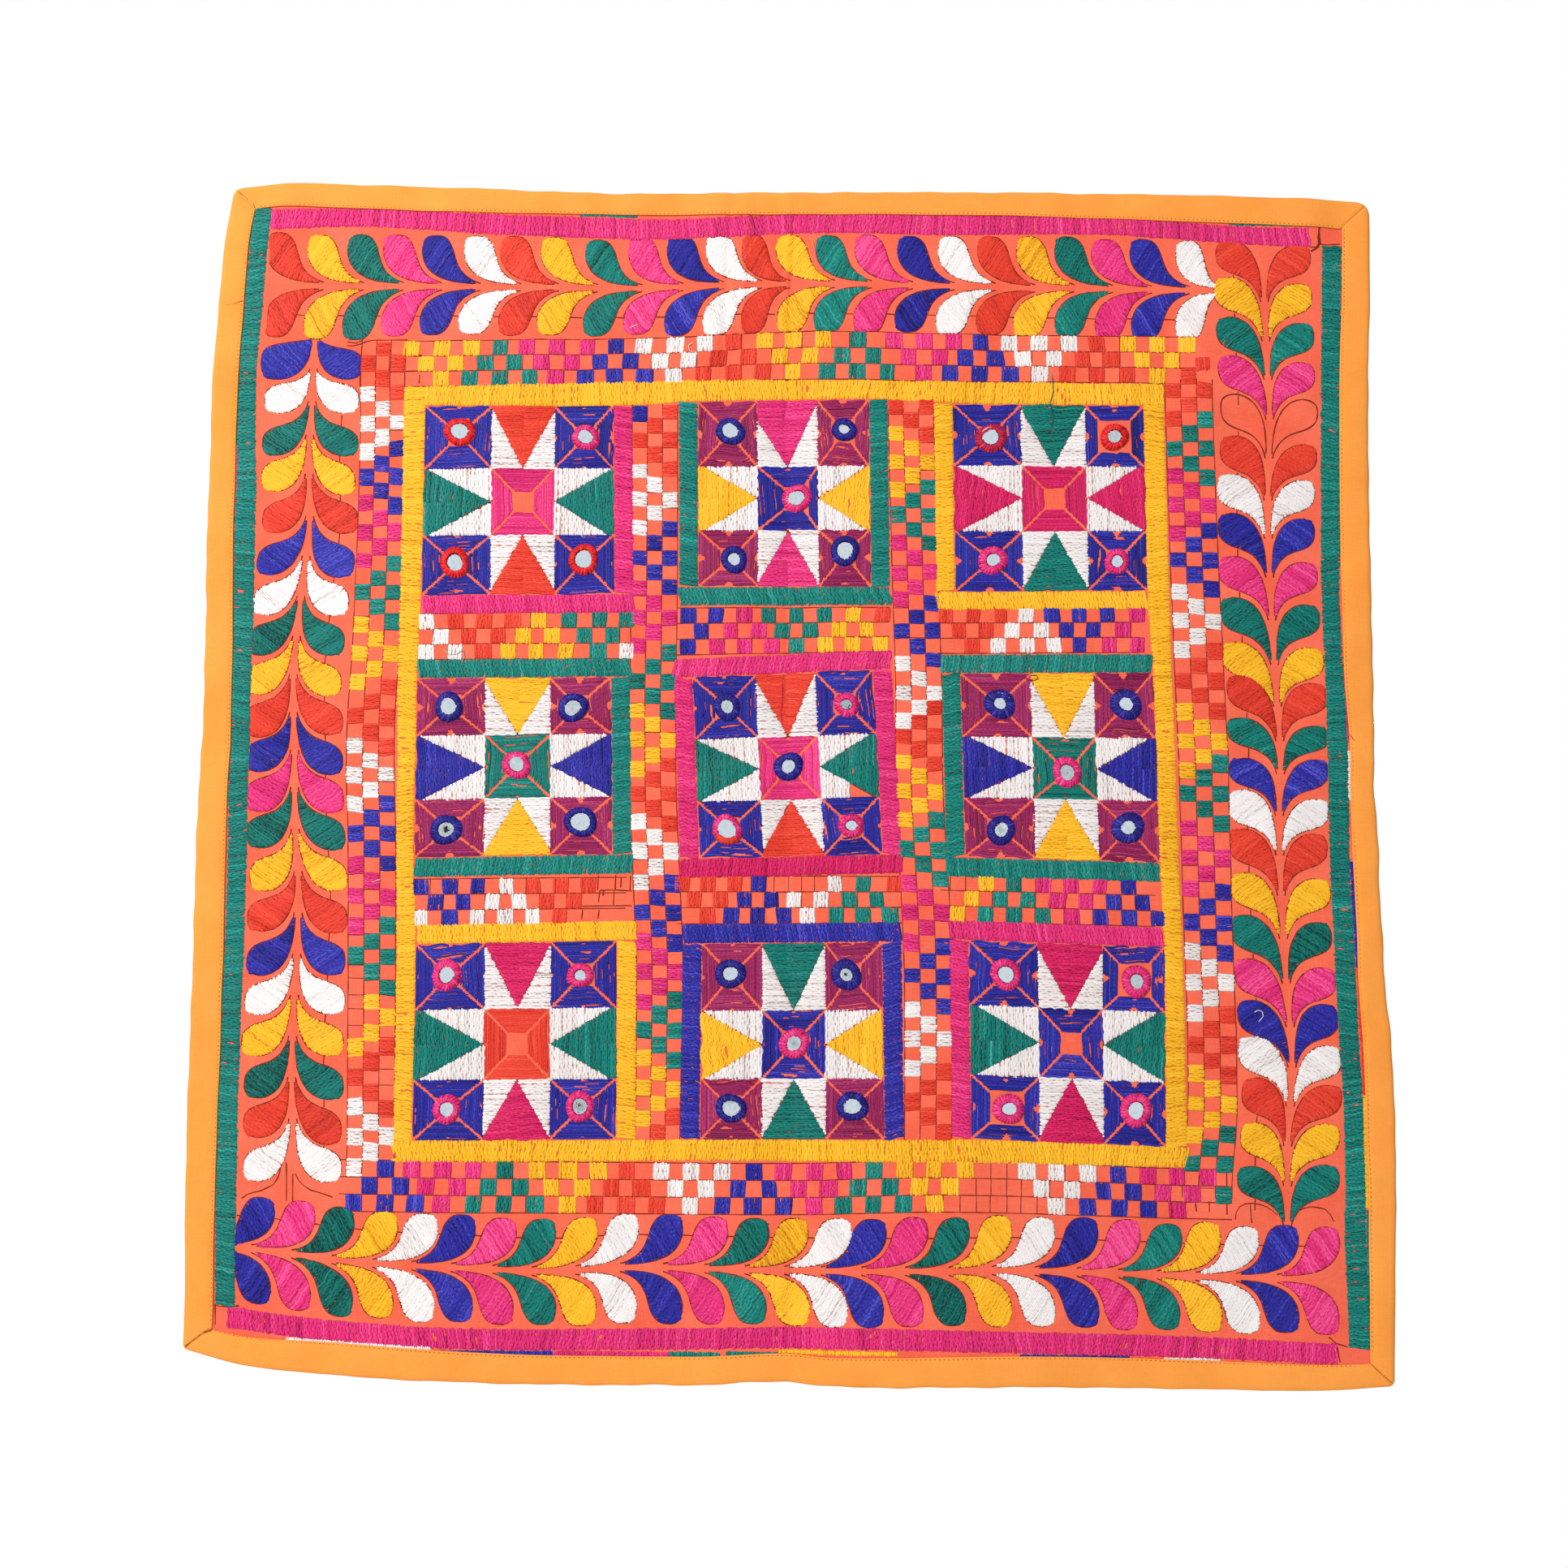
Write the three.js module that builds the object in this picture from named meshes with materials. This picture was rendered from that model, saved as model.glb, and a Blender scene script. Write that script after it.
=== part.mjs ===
// Embroidered wall hanging: a square of ground cloth with satin stitched fields, bound on all four
// edges with folded strips and set with small round mirrors.
// Millimetres, +Z up. The front faces -Y and the origin is the middle of the top edge.
import * as THREE from 'three';

const WIDTH = 762;          // finished width of the hanging
const DROP = 777;           // finished height of the hanging
const SHEET = 1.2;          // thickness of the ground cloth
const GAP = 0.3;            // air between neighbouring pieces
const TAPE = 1.0;           // thickness of one side of the folded binding
const TAPE_WIDTH = 17.5;    // width of the binding on the front, and on the back
const STITCH_RISE = 0.6;    // how far the solid satin stitched fields stand off the ground
const STITCH_SLOPE = 1.0;   // width of the slope at a stitched field's edge
const MIRROR_RADIUS = 7.5;
const MIRROR_THICK = 0.8;
const MIRROR_SIDES = 12;

const TAPE_INSIDE = SHEET / 2 + GAP;        // from the cloth's middle to the binding's inner face
const TAPE_OUTSIDE = TAPE_INSIDE + TAPE;    // from the cloth's middle to the binding's outer face
const CLOTH_INSET = TAPE_OUTSIDE + GAP;     // the cloth stops this far inside the folded edge
const FREE_INSET = TAPE_WIDTH + 4.5;        // first line of the cloth that is clear of the binding
const MITRE_CLEAR = GAP / Math.SQRT2;       // each strip's share of the gap along a mitre

// How far each edge strays outward from the true rectangle.
// "at" runs along the edge: from the middle on the top and bottom, down from the top on the sides.
const EDGES = {
  top: [
    { at: -376, out: -3.2 },
    { at: -344, out: 0.5 },
    { at: -247, out: -0.6 },
    { at: -132, out: -3.0 },
    { at: -60, out: -1.4 },
    { at: 0, out: 0 },
    { at: 112, out: 2.2 },
    { at: 200, out: 2.9 },
    { at: 340, out: 1.6 },
    { at: 381, out: -0.8 },
  ],
  bottom: [
    { at: -378, out: -14.5 },
    { at: -341, out: -5.6 },
    { at: -280, out: -1.1 },
    { at: -219, out: 1.3 },
    { at: -150, out: 2.8 },
    { at: -60, out: 1.8 },
    { at: -5, out: -1.4 },
    { at: 30, out: 0.7 },
    { at: 147, out: -0.7 },
    { at: 330, out: -1.3 },
    { at: 381, out: -5.0 },
  ],
  left: [
    { at: 3, out: -3.5 },
    { at: 42, out: 0.9 },
    { at: 109, out: 3.7 },
    { at: 170, out: 4.2 },
    { at: 273, out: 2.2 },
    { at: 338, out: 0.2 },
    { at: 433, out: 0.1 },
    { at: 527, out: -1.7 },
    { at: 650, out: -3.1 },
    { at: 741, out: -5.6 },
    { at: 770, out: -6.0 },
  ],
  right: [
    { at: 0, out: 0.5 },
    { at: 62, out: 0 },
    { at: 129, out: -2.2 },
    { at: 228, out: -2.7 },
    { at: 357, out: -1.9 },
    { at: 389, out: -2.8 },
    { at: 421, out: -1.3 },
    { at: 515, out: 1.4 },
    { at: 560, out: 4.6 },
    { at: 637, out: 7.0 },
    { at: 728, out: 5.5 },
    { at: 775, out: 4.5 },
  ],
};

const CORNERS = [
  { side: -1, end: 0, radius: 7 },
  { side: 1, end: 0, radius: 9 },
  { side: -1, end: 1, radius: 4 },
  { side: 1, end: 1, radius: 4 },
];

// Main folds. A fold that runs down lies at a distance from the middle, one that runs across lies at a
// distance from the top. "rise" is towards the viewer, "reach" is half its width, "lean" its slope, and
// it lives between "from" and "to", fading in and out over "fade".
const FOLDS = [
  {
    fold: 'quarter fold, upright', runs: 'down', at: -1, lean: 0.006,
    rise: -1.8, reach: 15, from: 0, to: 840, fade: 60,
  },
  {
    fold: 'quarter fold, level, left', runs: 'across', at: 381, lean: -0.006,
    rise: -2.0, reach: 14, from: -480, to: 20, fade: 70,
  },
  {
    fold: 'quarter fold, level, right', runs: 'across', at: 384, lean: -0.012,
    rise: 1.7, reach: 15, from: -20, to: 480, fade: 70,
  },
  {
    fold: 'swell under the top edge, left', runs: 'down', at: -190, lean: -0.02,
    rise: 2.6, reach: 95, from: -90, to: 430, fade: 270,
  },
  {
    fold: 'hollow under the top edge, right', runs: 'down', at: 178, lean: 0.02,
    rise: -2.2, reach: 90, from: -90, to: 390, fade: 250,
  },
  {
    fold: 'hem wave', runs: 'down', at: -268, lean: 0.05,
    rise: 4.0, reach: 62, from: 430, to: 1060, fade: 270,
  },
  {
    fold: 'hem wave', runs: 'down', at: -112, lean: 0.03,
    rise: -3.6, reach: 56, from: 470, to: 1060, fade: 250,
  },
  {
    fold: 'hem wave', runs: 'down', at: 92, lean: -0.02,
    rise: 3.8, reach: 66, from: 450, to: 1060, fade: 260,
  },
  {
    fold: 'hem wave', runs: 'down', at: 262, lean: -0.05,
    rise: -3.4, reach: 60, from: 480, to: 1060, fade: 240,
  },
  {
    fold: 'side ripple', runs: 'across', at: 62, lean: 0.05,
    rise: 1.5, reach: 18, from: -560, to: -312, fade: 66,
  },
  {
    fold: 'side ripple', runs: 'across', at: 104, lean: 0.03,
    rise: -1.4, reach: 18, from: -560, to: -320, fade: 60,
  },
  {
    fold: 'side ripple', runs: 'across', at: 150, lean: 0.04,
    rise: 1.7, reach: 19, from: -560, to: -310, fade: 66,
  },
  {
    fold: 'side ripple', runs: 'across', at: 197, lean: 0.02,
    rise: -1.3, reach: 19, from: -560, to: -322, fade: 58,
  },
  {
    fold: 'side ripple', runs: 'across', at: 247, lean: 0.03,
    rise: 1.2, reach: 20, from: -560, to: -318, fade: 60,
  },
  {
    fold: 'slack of the right side', runs: 'across', at: 560, lean: 0.04,
    rise: 2.4, reach: 58, from: 250, to: 560, fade: 110,
  },
  {
    fold: 'curl of the lower left corner', runs: 'across', at: 790, lean: 0.06,
    rise: -3.2, reach: 58, from: -640, to: -230, fade: 150,
  },
  {
    fold: 'belly', runs: 'across', at: 545, lean: 0.02,
    rise: 2.4, reach: 150, from: -640, to: 640, fade: 300,
  },
];

// Solid satin stitched fields, as bands across and down. Each star block is where a column meets a row.
const STAR_COLUMNS = [
  { left: -240.5, right: -116 },
  { left: -60, right: 55 },
  { left: 111, right: 236 },
];
const STAR_ROWS = [
  { top: 145, bottom: 271 },
  { top: 326, bottom: 446 },
  { top: 502, bottom: 626 },
];
const STITCHED_FRAMES = [
  { frame: 'inner frame', left: -254, right: 249, top: 129, bottom: 641, bar: 13 },
  { frame: 'outer bars', left: -362.5, right: 362.5, top: 18.6, bottom: 758.4, bar: 12.5 },
];

// Where the mirrors sit in each star block: across from the middle and up from the top edge.
const STAR_BLOCKS = [
  {
    block: 1, upLeft: [-220.5, -169], upRight: [-137.5, -171.5],
    lowLeft: [-221, -256.5], lowRight: [-137, -253],
  },
  {
    block: 2, upLeft: [-42.5, -165], upRight: [32.5, -162.5],
    lowLeft: [-38.5, -251], lowRight: [34, -244], middle: [2, -209],
  },
  {
    block: 3, upLeft: [129.5, -166], upRight: [211, -164],
    lowLeft: [131, -248.5], lowRight: [212.5, -248],
  },
  {
    block: 4, upLeft: [-221.5, -352], upRight: [-141, -351],
    lowLeft: [-220.5, -432], lowRight: [-134, -425.5], middle: [-176.5, -389],
  },
  {
    block: 5, upLeft: [-41, -349], upRight: [36.5, -346],
    lowLeft: [-39.5, -429], lowRight: [40.5, -425], middle: [-0.5, -387],
  },
  {
    block: 6, upLeft: [136, -344], upRight: [218, -343],
    lowLeft: [137, -426.5], lowRight: [219, -423.5], middle: [179.5, -388],
  },
  {
    block: 7, upLeft: [-216.5, -525.5], upRight: [-131.5, -524],
    lowLeft: [-213.5, -610], lowRight: [-129.5, -607],
  },
  {
    block: 8, upLeft: [-35.5, -521.5], upRight: [38.5, -521],
    lowLeft: [-33.5, -606.5], lowRight: [43.5, -604], middle: [6, -565],
  },
  {
    block: 9, upLeft: [140.5, -519], upRight: [224, -522],
    lowLeft: [142.5, -604], lowRight: [223.5, -603.5],
  },
];
const MIRROR_PLACES = ['upLeft', 'upRight', 'lowLeft', 'lowRight', 'middle'];

const COLOURS = {
  ground: { color: 0xf27452, roughness: 0.9, metalness: 0 },
  binding: { color: 0xf9ae43, roughness: 0.85, metalness: 0 },
  mirror: { color: 0xbfd4e0, roughness: 0.08, metalness: 0.9 },
};

function smoothStep(from, to, value) {
  const t = Math.min(1, Math.max(0, (value - from) / (to - from)));
  return t * t * (3 - 2 * t);
}

// A smooth curve through a table's rows, held level past its ends.
function alongEdge(rows, at) {
  const last = rows.length - 1;
  if (at <= rows[0].at) return rows[0].out;
  if (at >= rows[last].at) return rows[last].out;
  const i = rows.findIndex((row) => row.at > at) - 1;
  const slope = (k) => {
    const before = rows[Math.max(0, k - 1)];
    const after = rows[Math.min(last, k + 1)];
    return (after.out - before.out) / (after.at - before.at);
  };
  const span = rows[i + 1].at - rows[i].at;
  const t = (at - rows[i].at) / span;
  const start = rows[i].out * (1 + 2 * t) * (1 - t) ** 2 + slope(i) * span * t * (1 - t) ** 2;
  const finish = rows[i + 1].out * (3 - 2 * t) * t ** 2 + slope(i + 1) * span * (t - 1) * t ** 2;
  return start + finish;
}

// Depth of all the folds at a place on the flat cloth, towards the viewer.
function foldDepth(across, down) {
  let depth = 0;
  for (const row of FOLDS) {
    const runsDown = row.runs === 'down';
    const along = runsDown ? down : across;
    const off = runsDown
      ? across - row.at - row.lean * (down - DROP / 2)
      : down - row.at - row.lean * across;
    const fadeIn = smoothStep(row.from, row.from + row.fade, along);
    const fadeOut = 1 - smoothStep(row.to - row.fade, row.to, along);
    depth += row.rise * Math.exp(-((off / row.reach) ** 2)) * fadeIn * fadeOut;
  }
  return depth;
}

// Lines of the cloth's net: wanted lines first, then fillers wherever two lie more than "step" apart.
function netLines(wanted, step) {
  const lines = [...new Set(wanted)].sort((a, b) => a - b);
  const net = [];
  for (let i = 0; i < lines.length - 1; i += 1) {
    const parts = Math.max(1, Math.ceil((lines[i + 1] - lines[i]) / step));
    for (let k = 0; k < parts; k += 1) {
      net.push(lines[i] + ((lines[i + 1] - lines[i]) * k) / parts);
    }
  }
  net.push(lines[lines.length - 1]);
  return net;
}

const stitchedFields = [];
for (const column of STAR_COLUMNS) {
  for (const row of STAR_ROWS) {
    stitchedFields.push({ ...column, ...row });
  }
}
for (const { left, right, top, bottom, bar } of STITCHED_FRAMES) {
  stitchedFields.push({ left, right, top, bottom: top + bar });
  stitchedFields.push({ left, right, top: bottom - bar, bottom });
  stitchedFields.push({ left, right: left + bar, top, bottom });
  stitchedFields.push({ left: right - bar, right, top, bottom });
}

const wantedAcross = [CLOTH_INSET - WIDTH / 2, WIDTH / 2 - CLOTH_INSET];
const wantedDown = [CLOTH_INSET, DROP - CLOTH_INSET];
for (const field of stitchedFields) {
  wantedAcross.push(field.left, field.left + STITCH_SLOPE, field.right - STITCH_SLOPE, field.right);
  wantedDown.push(field.top, field.top + STITCH_SLOPE, field.bottom - STITCH_SLOPE, field.bottom);
}
for (const row of FOLDS.filter((fold) => fold.reach < 21)) {
  const lines = row.runs === 'down' ? wantedAcross : wantedDown;
  const bend = row.at + (row.runs === 'across' ? row.lean * (row.to < 0 ? -WIDTH / 2 : 0) : 0);
  lines.push(bend - row.reach, bend, bend + row.reach);
}

function clearOfBinding(lines, first, last) {
  const edge = (line) => line === lines[0] || line === lines[lines.length - 1];
  return lines.filter((line) => edge(line) || (line > first && line < last));
}

const FILL_STEP = 46;
const netAcross = netLines(wantedAcross, FILL_STEP);
const netDown = netLines(wantedDown, FILL_STEP);
const foldAcross = clearOfBinding(netAcross, FREE_INSET - 4 - WIDTH / 2, WIDTH / 2 - FREE_INSET + 4);
const foldDown = clearOfBinding(netDown, FREE_INSET - 4, DROP - FREE_INSET + 4);

function netCell(lines, at) {
  let i = 0;
  while (i < lines.length - 2 && lines[i + 1] < at) i += 1;
  return { i, t: (at - lines[i]) / (lines[i + 1] - lines[i]) };
}

// The folds as the net carries them, straight between its lines, so that every piece lies on one surface.
function drape(across, down) {
  const a = netCell(foldAcross, across);
  const d = netCell(foldDown, down);
  const depth = (i, k) => foldDepth(foldAcross[a.i + i], foldDown[d.i + k]);
  const upper = depth(0, 0) * (1 - a.t) + depth(1, 0) * a.t;
  const lower = depth(0, 1) * (1 - a.t) + depth(1, 1) * a.t;
  return upper * (1 - d.t) + lower * d.t;
}

// Rounds off a corner: the square of side "radius" at the corner becomes a quarter disc.
function roundCorner(across, down) {
  const place = { across, down };
  for (const { side, end, radius } of CORNERS) {
    const s = 1 - (WIDTH / 2 - side * across) / radius;
    const t = 1 - (end ? DROP - down : down) / radius;
    if (s > 0 && t > 0) {
      const inX = s * (1 - Math.sqrt(1 - (t * t) / 2)) * radius;
      const inZ = t * (1 - Math.sqrt(1 - (s * s) / 2)) * radius;
      place.across = across - side * inX;
      place.down = end ? down - inZ : down + inZ;
    }
  }
  return place;
}

// Puts a place on the flat cloth, and a height off its middle, onto the hanging cloth.
function hang(flatAcross, flatDown, lift) {
  const { across, down } = roundCorner(flatAcross, flatDown);
  const u = across / WIDTH + 0.5;
  const v = down / DROP;
  const x = across - alongEdge(EDGES.left, down) * (1 - u) + alongEdge(EDGES.right, down) * u;
  const z = -down + alongEdge(EDGES.top, across) * (1 - v) - alongEdge(EDGES.bottom, across) * v;
  return new THREE.Vector3(x, -drape(across, down) - lift, z);
}

// The place on the flat cloth that hangs at x, z.
function unhang(x, z) {
  let across = x;
  let down = -z;
  for (let pass = 0; pass < 6; pass += 1) {
    const there = hang(across, down, 0);
    across += x - there.x;
    down -= z - there.z;
  }
  return { across, down };
}

function stitchRise(across, down) {
  const half = STITCH_SLOPE / 2;
  const inside = stitchedFields.some((field) => (
    across > field.left + half && across < field.right - half
    && down > field.top + half && down < field.bottom - half
  ));
  return inside ? STITCH_RISE : 0;
}

// A closed body from its points and triangles, turned so that its faces look outwards.
function closedBody(points, triangles) {
  let volume = 0;
  for (const [a, b, c] of triangles) {
    volume += points[a].dot(points[b].clone().cross(points[c]));
  }
  const index = triangles.flatMap(([a, b, c]) => (volume > 0 ? [a, b, c] : [a, c, b]));
  const geometry = new THREE.BufferGeometry();
  geometry.setAttribute('position', new THREE.Float32BufferAttribute(points.flatMap((p) => p.toArray()), 3));
  geometry.setIndex(index);
  geometry.computeVertexNormals();
  return geometry;
}

function groundCloth() {
  const columns = netAcross.length;
  const rows = netDown.length;
  const points = [];
  for (const face of [1, -1]) {
    for (const down of netDown) {
      for (const across of netAcross) {
        const rise = face > 0 ? stitchRise(across, down) : 0;
        points.push(hang(across, down, face * (SHEET / 2 + rise)));
      }
    }
  }
  const at = (face, row, column) => face * rows * columns + row * columns + column;
  const triangles = [];
  for (let r = 0; r < rows - 1; r += 1) {
    for (let c = 0; c < columns - 1; c += 1) {
      const front = [at(0, r, c), at(0, r, c + 1), at(0, r + 1, c + 1), at(0, r + 1, c)];
      const back = [at(1, r, c), at(1, r, c + 1), at(1, r + 1, c + 1), at(1, r + 1, c)];
      triangles.push([front[0], front[2], front[1]], [front[0], front[3], front[2]]);
      triangles.push([back[0], back[1], back[2]], [back[0], back[2], back[3]]);
    }
  }
  const rim = [];
  for (let c = 0; c < columns - 1; c += 1) rim.push([0, c]);
  for (let r = 0; r < rows - 1; r += 1) rim.push([r, columns - 1]);
  for (let c = columns - 1; c > 0; c -= 1) rim.push([rows - 1, c]);
  for (let r = rows - 1; r > 0; r -= 1) rim.push([r, 0]);
  rim.forEach(([r, c], k) => {
    const [nextR, nextC] = rim[(k + 1) % rim.length];
    const a = at(0, r, c);
    const b = at(0, nextR, nextC);
    const under = at(1, r, c);
    const underNext = at(1, nextR, nextC);
    triangles.push([a, b, underNext], [a, underNext, under]);
  });
  return closedBody(points, triangles);
}

// The folded strip's section: how far in from the folded edge, and how far off the cloth's middle.
function bindingSection() {
  const bend = TAPE_OUTSIDE * (1 - Math.SQRT1_2);
  const turn = TAPE_OUTSIDE * Math.SQRT1_2;
  return [
    { inset: TAPE_WIDTH, lift: TAPE_OUTSIDE },
    { inset: TAPE_OUTSIDE, lift: TAPE_OUTSIDE },
    { inset: bend, lift: turn },
    { inset: 0, lift: 0 },
    { inset: bend, lift: -turn },
    { inset: TAPE_OUTSIDE, lift: -TAPE_OUTSIDE },
    { inset: TAPE_WIDTH, lift: -TAPE_OUTSIDE },
    { inset: TAPE_WIDTH, lift: -TAPE_INSIDE },
    { inset: TAPE_OUTSIDE, lift: -TAPE_INSIDE },
    { inset: TAPE, lift: 0 },
    { inset: TAPE_OUTSIDE, lift: TAPE_INSIDE },
    { inset: TAPE_WIDTH, lift: TAPE_INSIDE },
  ];
}

const SIDES = [
  { name: 'binding_top', upright: false, far: false },
  { name: 'binding_bottom', upright: false, far: true },
  { name: 'binding_left', upright: true, far: false },
  { name: 'binding_right', upright: true, far: true },
];

function bindingStrip({ upright, far }) {
  const section = bindingSection();
  const start = upright ? 0 : -WIDTH / 2;
  const end = upright ? DROP : WIDTH / 2;
  const stations = (upright ? foldDown : foldAcross).slice(1, -1);
  const count = stations.length + 2;
  const points = [];
  for (let k = 0; k < count; k += 1) {
    for (const { inset, lift } of section) {
      let along = stations[k - 1];
      if (k === 0) along = start + inset + MITRE_CLEAR;
      if (k === count - 1) along = end - inset - MITRE_CLEAR;
      if (upright) {
        points.push(hang(far ? WIDTH / 2 - inset : inset - WIDTH / 2, along, lift));
      } else {
        points.push(hang(along, far ? DROP - inset : inset, lift));
      }
    }
  }
  const size = section.length;
  const triangles = [];
  for (let k = 0; k < count - 1; k += 1) {
    for (let j = 0; j < size; j += 1) {
      const a = k * size + j;
      const b = k * size + ((j + 1) % size);
      triangles.push([a, b, b + size], [a, b + size, a + size]);
    }
  }
  const outline = section.map(({ inset, lift }) => new THREE.Vector2(inset, lift));
  const endStart = (count - 1) * size;
  const turns = THREE.ShapeUtils.isClockWise(outline);
  for (const [a, b, c] of THREE.ShapeUtils.triangulateShape(outline, [])) {
    const [first, second, third] = capOrder(outline, a, b, c, turns);
    triangles.push([first, third, second]);
    triangles.push([endStart + first, endStart + second, endStart + third]);
  }
  return closedBody(points, triangles);
}

// Lists a cap's triangle in the same turning sense as the section's outline.
function capOrder(outline, a, b, c, outlineClockWise) {
  const clockWise = THREE.ShapeUtils.isClockWise([outline[a], outline[b], outline[c]]);
  return clockWise === outlineClockWise ? [a, b, c] : [a, c, b];
}

// A flat disc on the hanging cloth, tipped with it and just clear of the highest stitching under it.
function mirrorDisc([x, z]) {
  const { across, down } = unhang(x, z);
  const middle = hang(across, down, 0);
  const slope = (da, dd) => {
    const ahead = drape(across + da, down + dd);
    const behind = drape(across - da, down - dd);
    return (ahead - behind) / (2 * Math.hypot(da, dd));
  };
  const slopeX = slope(MIRROR_RADIUS, 0);
  const slopeDown = slope(0, MIRROR_RADIUS);
  let clear = 0;
  for (let ring = 1; ring <= 4; ring += 1) {
    for (let k = 0; k < 24; k += 1) {
      const angle = (k * Math.PI) / 12;
      const a = (Math.cos(angle) * MIRROR_RADIUS * ring) / 4;
      const d = (Math.sin(angle) * MIRROR_RADIUS * ring) / 4;
      const bulge = drape(across + a, down + d) - drape(across, down) - slopeX * a - slopeDown * d;
      clear = Math.max(clear, bulge);
    }
  }
  const seat = SHEET / 2 + STITCH_RISE + GAP + clear;
  const points = [];
  for (const lift of [seat, seat + MIRROR_THICK]) {
    for (let k = 0; k < MIRROR_SIDES; k += 1) {
      const angle = (2 * Math.PI * k) / MIRROR_SIDES;
      const a = Math.cos(angle) * MIRROR_RADIUS;
      const d = Math.sin(angle) * MIRROR_RADIUS;
      const y = middle.y - lift - slopeX * a - slopeDown * d;
      points.push(new THREE.Vector3(middle.x + a, y, middle.z - d));
    }
  }
  const triangles = [];
  for (let k = 0; k < MIRROR_SIDES; k += 1) {
    const next = (k + 1) % MIRROR_SIDES;
    triangles.push([k, next, next + MIRROR_SIDES], [k, next + MIRROR_SIDES, k + MIRROR_SIDES]);
  }
  for (let k = 1; k < MIRROR_SIDES - 1; k += 1) {
    triangles.push([0, k + 1, k]);
    triangles.push([MIRROR_SIDES, MIRROR_SIDES + k, MIRROR_SIDES + k + 1]);
  }
  return closedBody(points, triangles);
}

function piece(name, geometry, look) {
  const mesh = new THREE.Mesh(geometry, new THREE.MeshStandardMaterial(look));
  mesh.name = name;
  return mesh;
}

const hanging = new THREE.Group();
hanging.name = 'wall_hanging';
hanging.add(piece('ground_cloth', groundCloth(), COLOURS.ground));
for (const side of SIDES) {
  hanging.add(piece(side.name, bindingStrip(side), COLOURS.binding));
}
for (const row of STAR_BLOCKS) {
  for (const place of MIRROR_PLACES.filter((name) => row[name])) {
    hanging.add(piece(`mirror_${row.block}_${place}`, mirrorDisc(row[place]), COLOURS.mirror));
  }
}

export default hanging;
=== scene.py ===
"""Looks of an embroidered wall hanging: cotton ground, folded binding, floss stitches and mirrors.

Sizes are millimetres until a mesh is made. Places in the embroidery are measured from the middle of
the stitched field, x to the right and z up. Places on the flat cloth are "across" from the middle and
"down" from the top edge. The hanging lies in the XZ plane and its front faces -Y.
"""

import math

import bpy
import numpy as np
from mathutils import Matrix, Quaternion, Vector


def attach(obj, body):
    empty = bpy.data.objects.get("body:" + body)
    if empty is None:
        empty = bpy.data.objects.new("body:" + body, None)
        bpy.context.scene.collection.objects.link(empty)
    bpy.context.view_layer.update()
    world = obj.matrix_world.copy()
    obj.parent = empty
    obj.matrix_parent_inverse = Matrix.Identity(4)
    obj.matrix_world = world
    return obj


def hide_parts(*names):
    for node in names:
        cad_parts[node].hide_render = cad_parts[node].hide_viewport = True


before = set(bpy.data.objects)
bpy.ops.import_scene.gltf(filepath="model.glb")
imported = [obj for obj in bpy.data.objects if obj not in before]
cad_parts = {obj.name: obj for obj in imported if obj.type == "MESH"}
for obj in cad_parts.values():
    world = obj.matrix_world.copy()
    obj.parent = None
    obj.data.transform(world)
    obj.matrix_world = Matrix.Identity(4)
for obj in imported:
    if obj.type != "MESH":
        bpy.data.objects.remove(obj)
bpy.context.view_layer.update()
rng = np.random.default_rng(11)

MM = 0.001
WIDTH, DROP = 762.0, 777.0
FIELD = (4.5, -385.0)      # the stitched field's middle, from the middle of the top edge
STITCH_WAVE = 7.0          # length of one wave along a slack thread
COVER = 1.5                # how wide a thread spreads, as a multiple of the threads' spacing
CLOTH_NET = 4.0            # spacing of the ground cloth's net
CLOTH_INSET = 2.2          # how far the ground cloth stops short of the binding's fold
TOPSTITCH = 2.9            # spacing of the binding's machine stitches
FULL_TURN = 6.28           # range of a random phase

# Outline: how far each edge strays outward, as (place along the edge, outward).
EDGES = {
    "top": [(-376, -3.2), (-344, 0.5), (-247, -0.6), (-132, -3.0), (-60, -1.4), (0, 0), (112, 2.2),
            (200, 2.9), (340, 1.6), (381, -0.8)],
    "bottom": [(-378, -14.5), (-341, -5.6), (-280, -1.1), (-219, 1.3), (-150, 2.8), (-60, 1.8),
               (-5, -1.4), (30, 0.7), (147, -0.7), (330, -1.3), (381, -5.0)],
    "left": [(3, -3.5), (42, 0.9), (109, 3.7), (170, 4.2), (273, 2.2), (338, 0.2), (433, 0.1),
             (527, -1.7), (650, -3.1), (741, -5.6), (770, -6.0)],
    "right": [(0, 0.5), (62, 0), (129, -2.2), (228, -2.7), (357, -1.9), (389, -2.8), (421, -1.3),
              (515, 1.4), (560, 4.6), (637, 7.0), (728, 5.5), (775, 4.5)],
}
# Rounded corners: (side of the middle, from the bottom end, radius).
CORNERS = [(-1, 0, 7), (1, 0, 9), (-1, 1, 4), (1, 1, 4)]

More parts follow.
